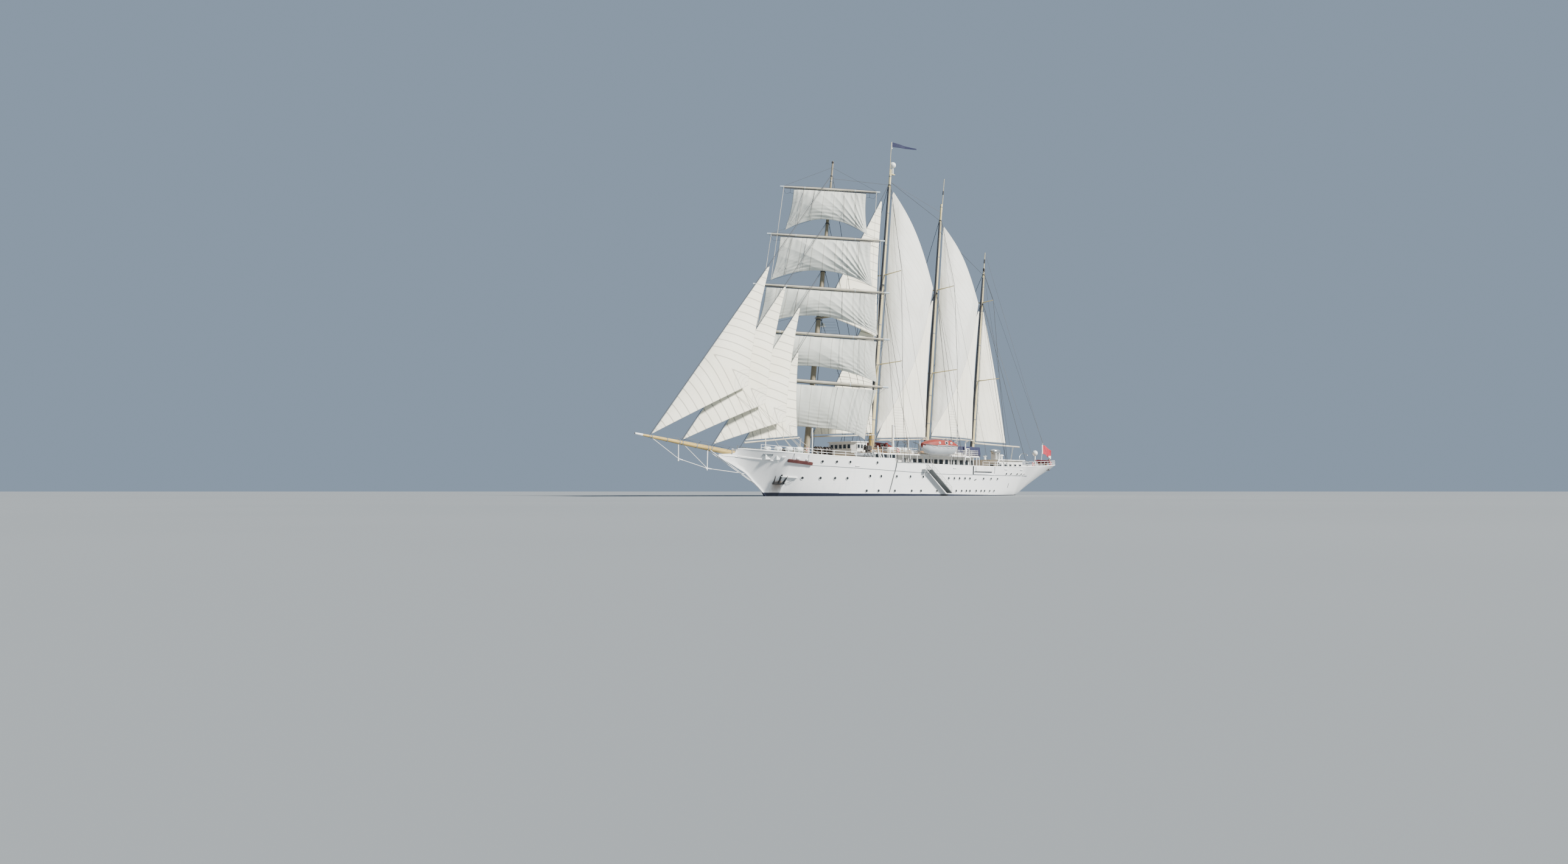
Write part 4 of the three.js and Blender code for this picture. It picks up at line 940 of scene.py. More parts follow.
def hull_ring(i):
    y, z = half[i], height[i]
    rail, deck = z[-1], deck_line[i]
    if DECK_ENDS[0] <= stations[i] <= DECK_ENDS[1]:
        corner = max(0.02, float(np.interp(deck, z, y)) - PLATE)
        inner = [(0, deck), (corner / 2, deck), (corner, deck), (max(0.02, y[-1] - PLATE), rail)]
    else:
        inner = [(0, rail), (y[-1] / 4, rail), (y[-1] / 2, rail), (y[-1] * 0.8, rail)]
    port = inner + list(zip(y[::-1], z[::-1]))
    return port + [(-a, b) for a, b in reversed(port)]


shell = close_rims(ring_skin(stations, [hull_ring(i) for i in range(len(stations))]), 1e-4)
shell.name = "hull_shell"
place(smooth(shell, 32), "root", "hull_white", finish["hull_paint"], finish["deck_planks"], replaces=["hull"])
for face in shell.data.polygons:
    x, y, z = face.center
    if face.normal.z > 0.9 and abs(z - deck_z(x)) < 0.012 and DECK_ENDS[0] < x < DECK_ENDS[1]:
        face.material_index = 1
print("hull shell:", len(stations), "stations,", len(shell.data.polygons), "faces")

# %% [markdown]
# Trim runs along the hull on both sides: a rubbing strake below the main deck, a ledge above the boot-top, a band
# from the beak, and a cap on the bulwark. Each is a tube along points that lie on the plating.

# %% Strakes, ledge and cap rail
def along_hull(stops, out=0.0, step=0.12):
    """Points on the port plating through (x, z) stops."""
    xs, zs = zip(*sorted(stops))
    count = max(2, int((xs[-1] - xs[0]) / step))
    return [on_hull(x, float(np.interp(x, xs, zs)), out) for x in np.linspace(xs[0], xs[-1], count)]


strake_stops = [(3.06, 0.51), (0.94, 0.43), (0.27, 0.41), (-0.4, 0.39), (-3.3, 0.39)]
# The strake is steel grey on the white plating: partly painted shadow, for the thin shadow line under it.
strake = lines("rubbing_strake", [along_hull(strake_stops)], 0.006)
place(both_sides(strake), "root", "steel_grey", finish["steel"])
ledge = lines("waterline_ledge", [along_hull([(2.37, 0.052), (-1.75, 0.03)], 0.001)], 0.006)
band = lines("bow_band", [along_hull([(4.5, 0.648), (4.24, 0.636), (3.7, 0.578)], 0.001, 0.06)], 0.009)
trim = fuse("hull_trim", [ledge, band])
place(both_sides(trim), "root", "hull_white", finish["white_metal"])
caps = []
for low, high in ((-4.84, 1.085), (1.125, 4.2)):
    xs = np.linspace(low, high, int((high - low) / 0.09))
    caps.append([(x, rail_y(x) - PLATE / 2, rail_z(x) + 0.002) for x in xs])
cap = lines("cap_rail", caps, 0.011)
place(both_sides(cap), "root", "house_white", finish["white_metal"])
planking = block((-1.435, -0.672, SUN_DECK + 0.0005), (1.625, 0.672, SUN_DECK + 0.0035), 0.001)
place(settle(planking, "sun_deck_planking"), "root", "house_white", finish["deck_planks"])
print("cap rails on", len(caps), "stretches of bulwark")

# %% [markdown]
# A porthole is a ring with dark glass set back in it. One is modelled from a cylinder: its face is inset for the rim,
# and the middle is pushed in. Copies then lie on the plating, each turned to the plating's own slope.

# %% Portholes
# Rows on the port side: the height of the row, and its places from bow to stern.
PORTHOLE_ROWS = [
    (0.57, (2.83, 2.53, 2.23, 1.58)),
    (0.3, (3.13, 2.8, 2.51, 2.25)),
    (0.34, (1.74, 1.47, 1.07, 0.7, 0.34)),
    (0.32, (-0.41, -0.58, -0.74, -0.91, -1.07, -1.52, -1.78, -2.02)),
    (0.09, (1.8, 1.52, 1.11, 0.66, 0.4, -0.06, -0.64, -0.81, -0.96, -1.08, -1.29, -1.46, -1.58, -1.77, -1.94)),
    (0.42, (-2.33, -2.51, -2.76, -2.93, -3.08)),
]
RADIUS = 0.032

ops.mesh.primitive_cylinder_add(vertices=16, radius=RADIUS, depth=0.012)
rim = bpy.context.object
inset_faces(rim, (0, 0, 1), border=0.006, step=0.0012, depth=0.006)
rim.data.materials.append(finish["white_metal"])
rim.data.materials.append(finish["dark_glass"])
for face in rim.data.polygons:
    if face.normal.z > 0.9 and len(face.vertices) > 4:
        face.material_index = 1


def plating_turn(x, z):
    """Turns +Z to the plating's outward direction at a place on the port side."""
    along = on_hull(x + 0.05, z) - on_hull(x - 0.05, z)
    up = on_hull(x, z + 0.03) - on_hull(x, z - 0.03)
    normal = up.cross(along).normalized()
    if normal.y < 0:
        normal.negate()
    return Matrix.Translation(on_hull(x, z) + normal * 0.003) @ normal.to_track_quat("Z", "Y").to_matrix().to_4x4()


port_places = [plating_turn(x, z) for z, xs in PORTHOLE_ROWS for x in xs]
place(both_sides(fuse("portholes", copies(rim, port_places))), "root", "hull_white")
print("portholes:", 2 * len(port_places))

# %% [markdown]
# ## Rails and posts
# Guard rails are stanchions with two or three bars. The sun deck stands on slim posts above the side decks, and its
# rail goes round it. The waist and the stern have lower rails on the bulwark.

# %% Rails and posts
def rail(stops, bars, height_above, spacing=0.2):
    """Runs for a rail along the stops: the bars, and a stanchion about every spacing."""
    runs = [[(x, y, z + height_above * share) for x, y, z in stops] for share in bars]
    for a, b in zip(stops, stops[1:]):
        a, b = Vector(a), Vector(b)
        count = max(1, round((b - a).length / spacing))
        for k in range(count):
            foot = a + (b - a) * (k / count)
            runs.append([foot, foot + Vector((0, 0, height_above))])
    runs.append([Vector(stops[-1]), Vector(stops[-1]) + Vector((0, 0, height_above))])
    return runs


def on_rail(x, side=1, inside=0.008, above=0.0):
    """A place on top of the bulwark, a little inside its edge."""
    return x, side * (rail_y(x) - inside), rail_z(x) + above


AFT, EDGE, FORWARD = -1.44, 0.668, 1.36
THREE_BARS, TWO_BARS = (1, 0.66, 0.33), (1, 0.5)
sun_rail = rail([(AFT, EDGE, SUN_DECK), (FORWARD, EDGE, SUN_DECK), (FORWARD, 0.42, SUN_DECK)], THREE_BARS, 0.1)
sun_rail += rail([(AFT, 0.0, SUN_DECK), (AFT, EDGE, SUN_DECK)], THREE_BARS, 0.1)
stern_stops = [on_rail(x) for x in np.linspace(-3.2, -4.84, 10)]
stern_rail = rail(stern_stops + [(-4.88, 0.03, 0.648)], TWO_BARS, 0.095, spacing=0.19)
waist_rail = rail([on_rail(x) for x in np.linspace(-3.2, -1.5, 9)], TWO_BARS, 0.09, spacing=0.21)
rails_made = both_sides(lines("deck_rails", sun_rail + stern_rail + waist_rail, 0.0032))
place(rails_made, "root", "house_white", finish["white_metal"])
posts = [[(x, 0.664, MAIN_DECK), (x, 0.664, 0.724)] for x in np.arange(-1.4, 1.62, 0.2)]
place(both_sides(lines("sun_deck_posts", posts, 0.008)), "root", "house_white", finish["white_metal"])
print("posts under the sun deck:", 2 * len(posts))

# %% [markdown]
# ## Windows and doors
# A window is a thin frame with its pane set back: a block is inset on its outer face and pushed in, and copies go where
# the houses have them. A door is the same with a taller shape.

# %% Windows and doors
def framed(width, tall, depth=0.008, border=0.008):
    """A frame in the XZ plane that looks to +Y, with dark glass."""
    piece = block((-width / 2, 0, -tall / 2), (width / 2, depth, tall / 2), 0)
    inset_faces(piece, (0, 1, 0), border, step=0.001, depth=depth * 0.7)
    piece.data.materials.append(finish["white_metal"])
    piece.data.materials.append(finish["dark_glass"])
    for face in piece.data.polygons:
        inner = all(abs(piece.data.vertices[v].co.x) < width / 2 - border for v in face.vertices)
        if face.normal.y > 0.9 and inner:
            face.material_index = 1
    return piece


def turned_to(x, y, z, heading=0):
    """A place with a turn about Z in degrees. A frame's outer face looks to +Y at 0, and to -X at 90."""
    return Matrix.Translation((x, y, z)) @ Matrix.Rotation(math.radians(heading), 4, "Z")


# Columns: width, height, y, z, places along the ship.
SIDE_WINDOWS = [
    (0.128, 0.11, 0.56, 0.62, np.arange(-1.36, 0.8, 0.155)),
    (0.108, 0.12, 0.52, 0.625, (0.98, 1.1, 1.22, 1.34, 1.46)),
    (0.075, 0.085, 0.33, 0.86, (1.435, 1.52, 1.605)),
    (0.1, 0.075, 0.43, 0.6, (-3.2, -3.03, -2.86, -2.69, -2.52)),
    (0.07, 0.05, 0.21, 0.64, (3.13, 3.24, 3.35)),
]
# Columns: width, height, x, z, heading, places across the ship.
END_WINDOWS = [
    (0.085, 0.085, 1.7, 0.86, -90, (-0.2, -0.1, 0, 0.1, 0.2)),
    (0.1, 0.075, -2.42, 0.6, -90, (-0.3, 0.3)),
    (0.1, 0.075, -3.3, 0.6, 90, (-0.3, -0.1, 0.1, 0.3)),
]
DOOR_BORDER = 0.012
panes, ends = [], []
for width, tall, y, z, xs in SIDE_WINDOWS:
    panes += copies(framed(width, tall), [turned_to(x, y, z) for x in xs])
side_doors = [turned_to(-2.44, 0.43, 0.585), turned_to(1.56, 0.52, 0.585)]
panes += copies(framed(0.075, 0.18, border=DOOR_BORDER), side_doors)
side_panes = both_sides(fuse("side_windows", panes))
for width, tall, x, z, heading, ys in END_WINDOWS:
    ends += copies(framed(width, tall), [turned_to(x, y, z, heading) for y in ys])
ends += copies(framed(0.08, 0.19, border=DOOR_BORDER), [turned_to(-3.3, 0.0, 0.58, 90), turned_to(1.38, 0, 0.85, 90)])
panes_made = place(fuse("windows", [side_panes] + ends), "root", "house_white")
print("window faces:", len(panes_made.data.polygons))

# %% [markdown]
# ## Bowsprit
# The spar is painted gold and stiffened by white stays: two dolphin strikers push the bobstay down, and a pair of stays
# runs back to the stem. The spar is turned like any round spar, as tapered lengths with iron bands over the joints.

# %% Bowsprit
lengths = [rod((3.965, 0, 0.6526), on_sprit(4.7), 0.04, 0.04, 28), rod(on_sprit(4.69), on_sprit(5.9), 0.04, 0.023, 28),
           rod(on_sprit(5.89), on_sprit(6.2), 0.021, 0.013, 24)]
spar = place(fuse("bowsprit_spar", lengths), "root", "spar_buff", finish["sprit_gold"], replaces=["bowsprit"])


def sprit_radius(x):
    return float(np.interp(x, (4.7, 5.9, 5.901, 6.2), (0.04, 0.023, 0.021, 0.013)))


bands = []
for x in (4.02, 4.3, 4.72, 4.79, 5.02, 5.3, 5.36, 5.6, 5.89, 5.93):
    bands.append(rod(on_sprit(x - 0.008), on_sprit(x + 0.008), sprit_radius(x) + 0.004, sides=24))
place(fuse("bowsprit_bands", bands), "root", "iron_black", finish["steel"])
tip = rod(on_sprit(6.06), on_sprit(6.2), sprit_radius(6.06) + 0.0015, 0.0145, 20)
strikers = [rod(on_sprit(5.37), (5.37, 0, 0.548), 0.008), rod(on_sprit(4.78), (4.79, 0, 0.408), 0.009),
            turned((5.37, 0, 0.535), [[0.003, 0], [0.013, 0.012], [0.009, 0.03]], 12),
            block((4.755, -0.012, 0.43), (4.82, 0.012, 0.445), 0.002), tip]
bobstay = [on_sprit(5.92), Vector((5.37, 0, 0.578)), Vector((4.79, 0, 0.438)), Vector((3.97, 0, 0.362))]
white_stays = [bobstay] + [[(4.75, side * 0.03, 0.722), (3.79, side * 0.012, 0.218)] for side in (1, -1)]
white_stays.append([on_sprit(5.25, -0.03), Vector((4.79, 0, 0.44))])
strikers.append(lines("bobstays", white_stays, 0.0052))
for start, end in ((bobstay[1], bobstay[2]), (bobstay[2], bobstay[3])):
    way = (end - start).normalized()
    strikers.append(rod(start + way * 0.02, start + way * 0.09, 0.008))
place(fuse("bobstays", strikers), "root", "house_white", finish["white_metal"])
nets = []
for side in (1, -1):
    aside = Vector((0, side * 0.1, 0))
    nets.append([on_sprit(x, 0.075) + aside for x in (4.25, 4.6, 5.0, 5.4)])
    nets += [[on_sprit(x), on_sprit(x, 0.07) + aside] for x in (4.4, 4.7, 5.0, 5.3)]
place(lines("bowsprit_manropes", nets, 0.0022), "root", "wire_grey", finish["rope_dark"])
print("bowsprit:", round(spar.dimensions.x, 2), "m along the ship")

# %% [markdown]
# ## Yards' gear
# Every yard has pale tips, a jackstay on top, footropes under it for the hands, and lifts to the mast. Sheets lead from
# each clew to the tips of the yard below, and buntlines run down the front of each sail. They are drawn square to the
# mast, then braced round with the yards, and each rides with its own yard.

# %% Yards' gear
# Columns: height, half length, radius.
YARDS = {
    "course": (1.95, 1.29, 0.027), "lower_topsail": (2.775, 1.245, 0.025), "upper_topsail": (3.59, 1.175, 0.023),
    "lower_topgallant": (4.505, 1.02, 0.021), "upper_topgallant": (5.375, 0.87, 0.019),
}


def braced(x, y, z):
    return BRACED @ Vector((x, y, z))


def bunt(row, s):
    """Points down the front of a square sail at s across it, from -1 to 1."""
    yard, head, drop, half_foot, clew, roach, arch = row[:7]
    foot = clew + roach * (1 - abs(s) ** arch)
    run = []
    for v in np.linspace(0, 1, 9):
        wide = half_foot + (head - half_foot) * v
        run.append(braced(CLOTH_AHEAD + square_belly(s, v) + 0.016, s * wide, foot + (yard - drop - foot) * v))
    return run


YARD_AHEAD = 0.09
STIRRUPS = (0.06, 0.3, 0.55, 0.8, 0.97)
STIRRUP_DROP, ROPE_DROP = 0.085, 0.105
LIFT_RISE = 0.42
above = None
for (name, (height_up, half_long, radius)), row in zip(YARDS.items(), SQUARES.values()):
    tips, dark, pale = [], [], []
    for side in (1, -1):
        def at_share(share, up=0.0, ahead=YARD_AHEAD, past=0.0):
            """A place at a share of the half yard, on this side of the mast."""
            return braced(ahead, side * (half_long * share + past), height_up + up)

        tips.append(rod(at_share(0.93), at_share(1, past=0.004), radius * 0.66, radius * 0.6))
        tips.append(rod(at_share(0.5), at_share(0.5, past=0.012), radius * 0.97))
        foot_rope = []
        for a, b in zip(STIRRUPS, STIRRUPS[1:]):
            foot_rope += [at_share(a, -STIRRUP_DROP, 0.035), at_share((a + b) / 2, -ROPE_DROP, 0.035)]
            if b < 0.9:
                dark.append([at_share(b, ahead=0.07), at_share(b, -STIRRUP_DROP, 0.035)])
        dark.append(foot_rope + [at_share(0.97, -0.01, 0.085)])
        lift_top = braced(girth("fore", height_up + LIFT_RISE) + 0.006, side * 0.012, height_up + LIFT_RISE)
        dark.append([at_share(0.94, 0.01), lift_top])
        dark += [bunt(row, side * 0.4), bunt(row, side * 0.72)]
        if above:
            upper_foot, upper_clew = above
            pale.append([braced(0.092, side * upper_foot, upper_clew), at_share(0.93, 0.012, 0.092)])
    jackstay_up, under_yard_height = height_up + radius + 0.007, height_up - radius - 0.002
    dark.append([braced(YARD_AHEAD, half_long * share, jackstay_up) for share in (-0.9, 0, 0.9)])
    # A dark lacing line runs under each yard. It is thick, so it is also painted shade for the yard's underside.
    under_yard_run = [braced(0.085, half_long * share, under_yard_height) for share in (-0.92, 0, 0.92)]
    place(lines(f"{name}_track", [under_yard_run], 0.009), name, "iron_black", finish["rope_dark"])
    place(fuse(f"{name}_tips", tips), name, "yard_cream", finish["yard_tip"])
    place(lines(f"{name}_gear", dark, 0.0021), name, "wire_grey", finish["rope_dark"])
    if pale:
        place(lines(f"{name}_sheets", pale, 0.0032), name, "wire_grey", finish["rope_pale"])
    above = (row[3], row[4])
print("yards with gear:", len(YARDS))

# %% [markdown]
# ## Masts' gear
# Iron bands with eyes sit where stays and booms pull. A rail of pins stands at each side of a mast's foot, with ropes
# coiled on it, and winches beside it. The foremast carries a radar scanner on its after side, and a lamp.

# %% Masts' gear
BANDS = {
    "fore": (0.8, 1.2, 1.6, 2.23, 2.6, 3.07, 3.9, 4.3, 4.9, 5.5),
    "main": (1.0, 1.36, 1.9, 2.36, 3.1, 4.02, 4.6, 5.2, 5.9),
    "mizzen": (1.0, 1.36, 1.9, 2.32, 3.1, 3.94, 4.6, 5.1, 5.6),
    "jigger": (0.9, 1.03, 1.5, 2.27, 3.0, 3.7, 4.2, 4.5),
}


def mast_band(name, z):
    return rod(on_mast(name, z), on_mast(name, z + 0.012), girth(name, z) + 0.005, sides=20)


bands = [mast_band(name, z) for name, heights in BANDS.items() for z in heights]
place(fuse("mast_bands", bands), "root", "steel_grey", finish["steel"])

# Three dark halyards run down the fore side of the main, mizzen and jigger masts. Thick and close together, they are
# also painted shade for that side of each mast.
mast_fore_lines = []
for name, low, high in (("main", 1.12, 5.7), ("mizzen", 1.0, 5.3), ("jigger", 0.9, 4.4)):
    for angle in (-26, 0, 26):
        a = math.radians(angle)
        run = []
        for z in np.linspace(low, high, 8):
            out = girth(name, z) + 0.003
            run.append(on_mast(name, z, out * math.cos(a), out * math.sin(a)))
        mast_fore_lines.append(run)
place(lines("mast_tracks", mast_fore_lines, 0.0085), "root", "iron_black", finish["rope_dark"])
low, high = 0.75, 1.12
coat = rod(on_mast("main", low), on_mast("main", high), girth("main", low) + 0.003, girth("main", high) + 0.003, 28)
place(settle(coat, "main_mast_coat"), "root", "spar_buff", finish["sprit_gold"])

MAST_DECKS = {"fore": FORE_DECK, "main": SUN_DECK, "mizzen": SUN_DECK, "jigger": MAIN_DECK}
gear, pins, coils = [], [], []
for name, foot in MAST_DECKS.items():
    x = on_mast(name, foot).x
    for side in (1, -1):
        y = side * 0.15
        gear.append(block((x - 0.13, y - 0.012, foot + 0.075), (x + 0.13, y + 0.012, foot + 0.095), 0.003))
        for dx in (-0.115, 0.115):
            gear.append(rod((x + dx, y, foot), (x + dx, y, foot + 0.078), 0.009, 0.007))
        for dx in np.linspace(-0.09, 0.09, 6):
            pins.append(rod((x + dx, y, foot + 0.05), (x + dx, y, foot + 0.115), 0.0032, 0.0042, 8))
            coils.append([(x + dx + 0.008 * math.cos(a), y + side * 0.008, foot + 0.055 + 0.028 * math.sin(a))
                          for a in np.linspace(0, 12, 14)])
place(fuse("fife_rails", gear), "root", "house_white", finish["teak_trim"])
place(fuse("belaying_pins", pins), "root", "bronze", finish["bronze"])
place(lines("rope_coils", coils, 0.003), "root", "wire_grey", finish["rope_pale"])


WINCH = [[0.028, 0], [0.028, 0.01], [0.017, 0.018], [0.015, 0.04], [0.024, 0.05], [0.022, 0.058], [0.006, 0.06]]
WINCHES = [(2.3, 0.3, FORE_DECK), (1.2, 0.35, SUN_DECK), (-0.45, 0.33, SUN_DECK), (-2.2, 0.3, MAIN_DECK),
           (-3.9, 0.3, 0.505), (3.55, 0.18, FORE_DECK)]
winches = [turned((x, side * y, z), WINCH, 20) for x, y, z in WINCHES for side in (1, -1)]
place(fuse("winches", winches), "root", "steel_grey", finish["steel"])

x = on_mast("fore", 3.3).x
radar = [
    block((x - 0.2, -0.05, 3.3), (x - 0.03, 0.05, 3.312), 0.002),
    rod((x - 0.03, 0, 3.2), (x - 0.16, 0, 3.3), 0.006),
    turned((x - 0.13, 0, 3.312), [[0.03, 0], [0.03, 0.03], [0.02, 0.045]], 16),
    block((x - 0.142, -0.13, 3.36), (x - 0.118, 0.13, 3.38), 0.004),
]
x = on_mast("fore", 2.95).x
radar += [
    block((x - 0.17, -0.04, 2.92), (x - 0.03, 0.04, 2.93), 0.002),
    turned((x - 0.12, 0, 2.93), [[0.035, 0], [0.04, 0.025], [0.026, 0.05], [0.006, 0.055]], 16),
]
place(fuse("radar", radar), "root", "dome_white", finish["gel_white"])
heads = [
    turned(on_mast("fore", 5.83), [[0.017, 0], [0.02, 0.01], [0.02, 0.034], [0.012, 0.038]], 16),
    turned(on_mast("jigger", 4.56), [[0.02, -0.12], [0.022, -0.1], [0.022, 0.03], [0.012, 0.036]], 16),
    rod(on_mast("jigger", 4.7), on_mast("jigger", 4.78), 0.014, sides=14),
    rod(on_mast("mizzen", 5.86, -0.03), on_mast("mizzen", 5.93, -0.03), 0.012),
]
place(fuse("mast_heads", heads), "root", "iron_black", finish["black_iron"])
print("mast bands:", len(bands))

# %% [markdown]
# ## Running rigging
# Halyards run up behind the masts, the jibs' sheets lead from near the clews to the rail, backstays fan out aft, and
# ratlines make ladders of the lower shrouds. All of it is taut and belongs to the ship's own body.

# %% Running rigging
# Backstays: the mast, the height of the top, and x on the rail.
BACKSTAYS = [("main", 3.85, 0.3), ("mizzen", 3.9, -1.2), ("mizzen", 5.3, -1.7), ("jigger", 3.9, -3.5),
             ("jigger", 4.46, -4.3), ("main", 5.7, 0.1)]
# Stays from the spreaders: the mast, the spreader's height and half span, and x on the rail.
SPREADER_STAYS = [("main", 2.39, 0.3, 0.5), ("mizzen", 2.35, 0.32, -0.95), ("jigger", 2.3, 0.28, -2.35)]
# Halyards: the mast, and the heights of foot and top.
HALYARDS = [("fore", 0.68, 5.5), ("main", 0.84, 5.7), ("mizzen", 0.84, 5.3), ("jigger", 0.58, 4.4)]
# Jib sheets: the point near the clew, and x and y on the rail.
JIB_SHEETS = [((4.34, 0.3, 1.7), 3.3, 0.5), ((3.95, 0.3, 1.44), 3.05, 0.53), ((3.53, 0.28, 1.17), 2.8, 0.55)]
HANKS = 27
thin, pale = [], []
for clew, x, y in JIB_SHEETS:
    pale += [[clew, (x, y, rail_z(x))], [clew, (x + 0.25, y - 0.06, rail_z(x))]]
for side in (1, -1):
    for mast, top, foot_x in BACKSTAYS:
        thin.append([on_mast(mast, top, -girth(mast, top)), on_rail(foot_x, side, 0.01)])
    for mast, spread_z, half_span, foot_x in SPREADER_STAYS:
        thin.append([on_mast(mast, spread_z, 0, side * half_span), on_rail(foot_x, side, 0.01)])
for mast, foot, top in HALYARDS:
    for dy in (-0.02, 0.0, 0.02):
        foot_end = on_mast(mast, foot, -girth(mast, foot) - 0.016, dy * 3)
        thin.append([foot_end, on_mast(mast, top, -girth(mast, top) - 0.008, dy)])
for name in JIBS:
    low, high = STAY_SAILS[name][:2]
    head_up = stay_ends(name)[1]
    thin.append([on_stay(name, high, 0.02), head_up + Vector((-0.03, 0, 0.01))])
    for k in range(HANKS):
        z = low + (high - low) * (k + 0.5) / HANKS
        thin.append([on_stay(name, z, -0.006), on_stay(name, z, 0.022)])
thin.append([on_mast("jigger", 4.9, -0.01), (-4.74, 0, 1.09)])
thin.append([on_mast("main", 5.8, -0.03), on_mast("mizzen", 5.5, 0.03)])
place(lines("halyards", thin, 0.0024), "root", "wire_grey", finish["rope_dark"])
place(lines("jib_sheets", pale, 0.003), "root", "wire_grey", finish["rope_pale"])

# Ladders between two shrouds: the mast, the heights of the rungs, and each shroud's top and x on the rail.
LADDERS = [
    ("fore", np.arange(0.74, 3.0, 0.05), ((3.88, 1.79), (3.03, 1.865))),
    ("main", np.arange(0.72, 1.6, 0.05), ((3.85, 1.03), (3.85, 0.68))),
    ("mizzen", np.arange(0.72, 1.6, 0.05), ((3.89, -0.59), (3.89, -0.87))),
]
SHROUD_RISE = 0.006
SHROUD_FEET = (1.64, 1.715, 1.79, 1.865, 0.85, 1.03, 0.68, -0.7, -0.59, -0.87, -2.36, -2.33, -3.12)


def on_shroud(mast, top, foot_x, side, z):
    head_up, foot = on_mast(mast, top), Vector(on_rail(foot_x, side, above=SHROUD_RISE))
    return foot + (head_up - foot) * ((z - foot.z) / (head_up.z - foot.z))


rungs, screws = [], []
for side in (1, -1):
    for mast, heights, shrouds in LADDERS:
        rungs += [[on_shroud(mast, top, foot_x, side, z) for top, foot_x in shrouds] for z in heights]
    for foot_x in SHROUD_FEET:
        foot = Vector(on_rail(foot_x, side, above=SHROUD_RISE))
        screws.append([foot, foot + Vector((0, -side * 0.004, 0.07))])
place(lines("ratlines", rungs, 0.0016), "root", "wire_grey", finish["rope_dark"])
place(lines("rigging_screws", screws, 0.0052), "root", "steel_grey", finish["steel"])
print("ratlines:", len(rungs), "lines:", len(thin) + len(pale))

# %% [markdown]
# Each boom has a tackle to the deck: three parts of rope from a point on the boom down to the deck.

# %% Boom tackles
# Columns: the tackle's top on the boom, and its foot on the deck.
BOOM_ENDS = {
    "fore_staysail": ((2.86, 0.16, 0.965), (2.86, 0.1, 0.587)),
    "main_staysail": ((0.95, 0.155, 1.08), (0.98, 0.12, 0.747)),
    "mizzen_staysail": ((-0.56, 0.155, 1.05), (-0.5, 0.1, 0.747)),
    "jigger_staysail": ((-2.02, 0.155, 1.07), (-2.15, 0.02, 1.0)),
    "spanker": ((-3.35, 0.175, 0.985), (-3.38, 0.1, 0.72)),
}
TACKLE_STEPS = 8
PARTS_APART = Vector((0.012, 0, 0))
for name, ends in BOOM_ENDS.items():
    top, foot = (Vector(end) for end in ends)
    middle = [foot + (top - foot) * k / TACKLE_STEPS for k in range(TACKLE_STEPS + 1)]
    runs = [[point + PARTS_APART * s for point in middle] for s in (-1, 0, 1)]
    tackle = lines(f"{name}_tackle", runs, 0.0018)
    tackle.data.materials.append(finish["rope_pale"])
    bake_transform(tackle)
    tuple(foot)
    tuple(top)
print("tackles:", len(BOOM_ENDS))

# %% [markdown]
# ## Boats
# A boat's hull is a skin over a few sections, drawn out smoothly from bow to stern. The lifeboats are half covered: the
# canopy is orange, with dark side openings, and a fender strake runs along the gunwale. The same helper makes the small
# red boat at the stern and the tender on deck, which are open and get a wall and thwarts.

# %% Boats
# Columns: x, half breadth, keel, gunwale, top.
LIFEBOAT = np.array([
    (-0.5, 0.02, 0.02, 0.06, 0.07), (-0.43, 0.1, -0.06, 0.055, 0.095), (-0.25, 0.145, -0.11, 0.05, 0.15),
    (0.15, 0.15, -0.115, 0.05, 0.17), (0.38, 0.11, -0.085, 0.062, 0.13), (0.5, 0.025, 0.01, 0.08, 0.095),
])
STERN_BOAT = np.array([
    (-0.24, 0.038, 0.014, 0.072, 0.072), (-0.15, 0.08, 0, 0.066, 0.066),
    (0.125, 0.084, 0, 0.066, 0.066), (0.235, 0.018, 0.02, 0.074, 0.074),
])
# Shares of the half breadth and of the height, from the keel to the gunwale and from there to the top.
SIDE = np.array([(0, 0), (0.3, 0.06), (0.55, 0.2), (0.8, 0.45), (0.94, 0.72), (1, 1)])
COVER = np.array([(0.985, 0.12), (0.95, 0.45), (0.85, 0.74), (0.62, 0.93), (0.3, 1.0), (0, 1.02)])


def boat(rows, covered, lengthwise=26):
    """A skin over boat sections, closed over the top where the boat is covered."""
    xs = np.linspace(rows[0, 0], rows[-1, 0], lengthwise)
    fine = fair(rows[:, 0], rows[:, 1:], xs)
    rings = []
    for half_wide, keel, gunwale, top in fine:
        port = [(half_wide * a, keel + (gunwale - keel) * b) for a, b in SIDE]
        if covered:
            port += [(half_wide * a, gunwale + (top - gunwale) * b) for a, b in COVER]
        starboard = [(-a, b) for a, b in reversed(port)]
        rings.append(port + starboard if covered else starboard + port[1:])
    return close_rims(ring_skin(xs, rings), fill=covered)


def at(piece, x, y, z):
    piece.data.transform(Matrix.Translation((x, y, z)))
    return piece


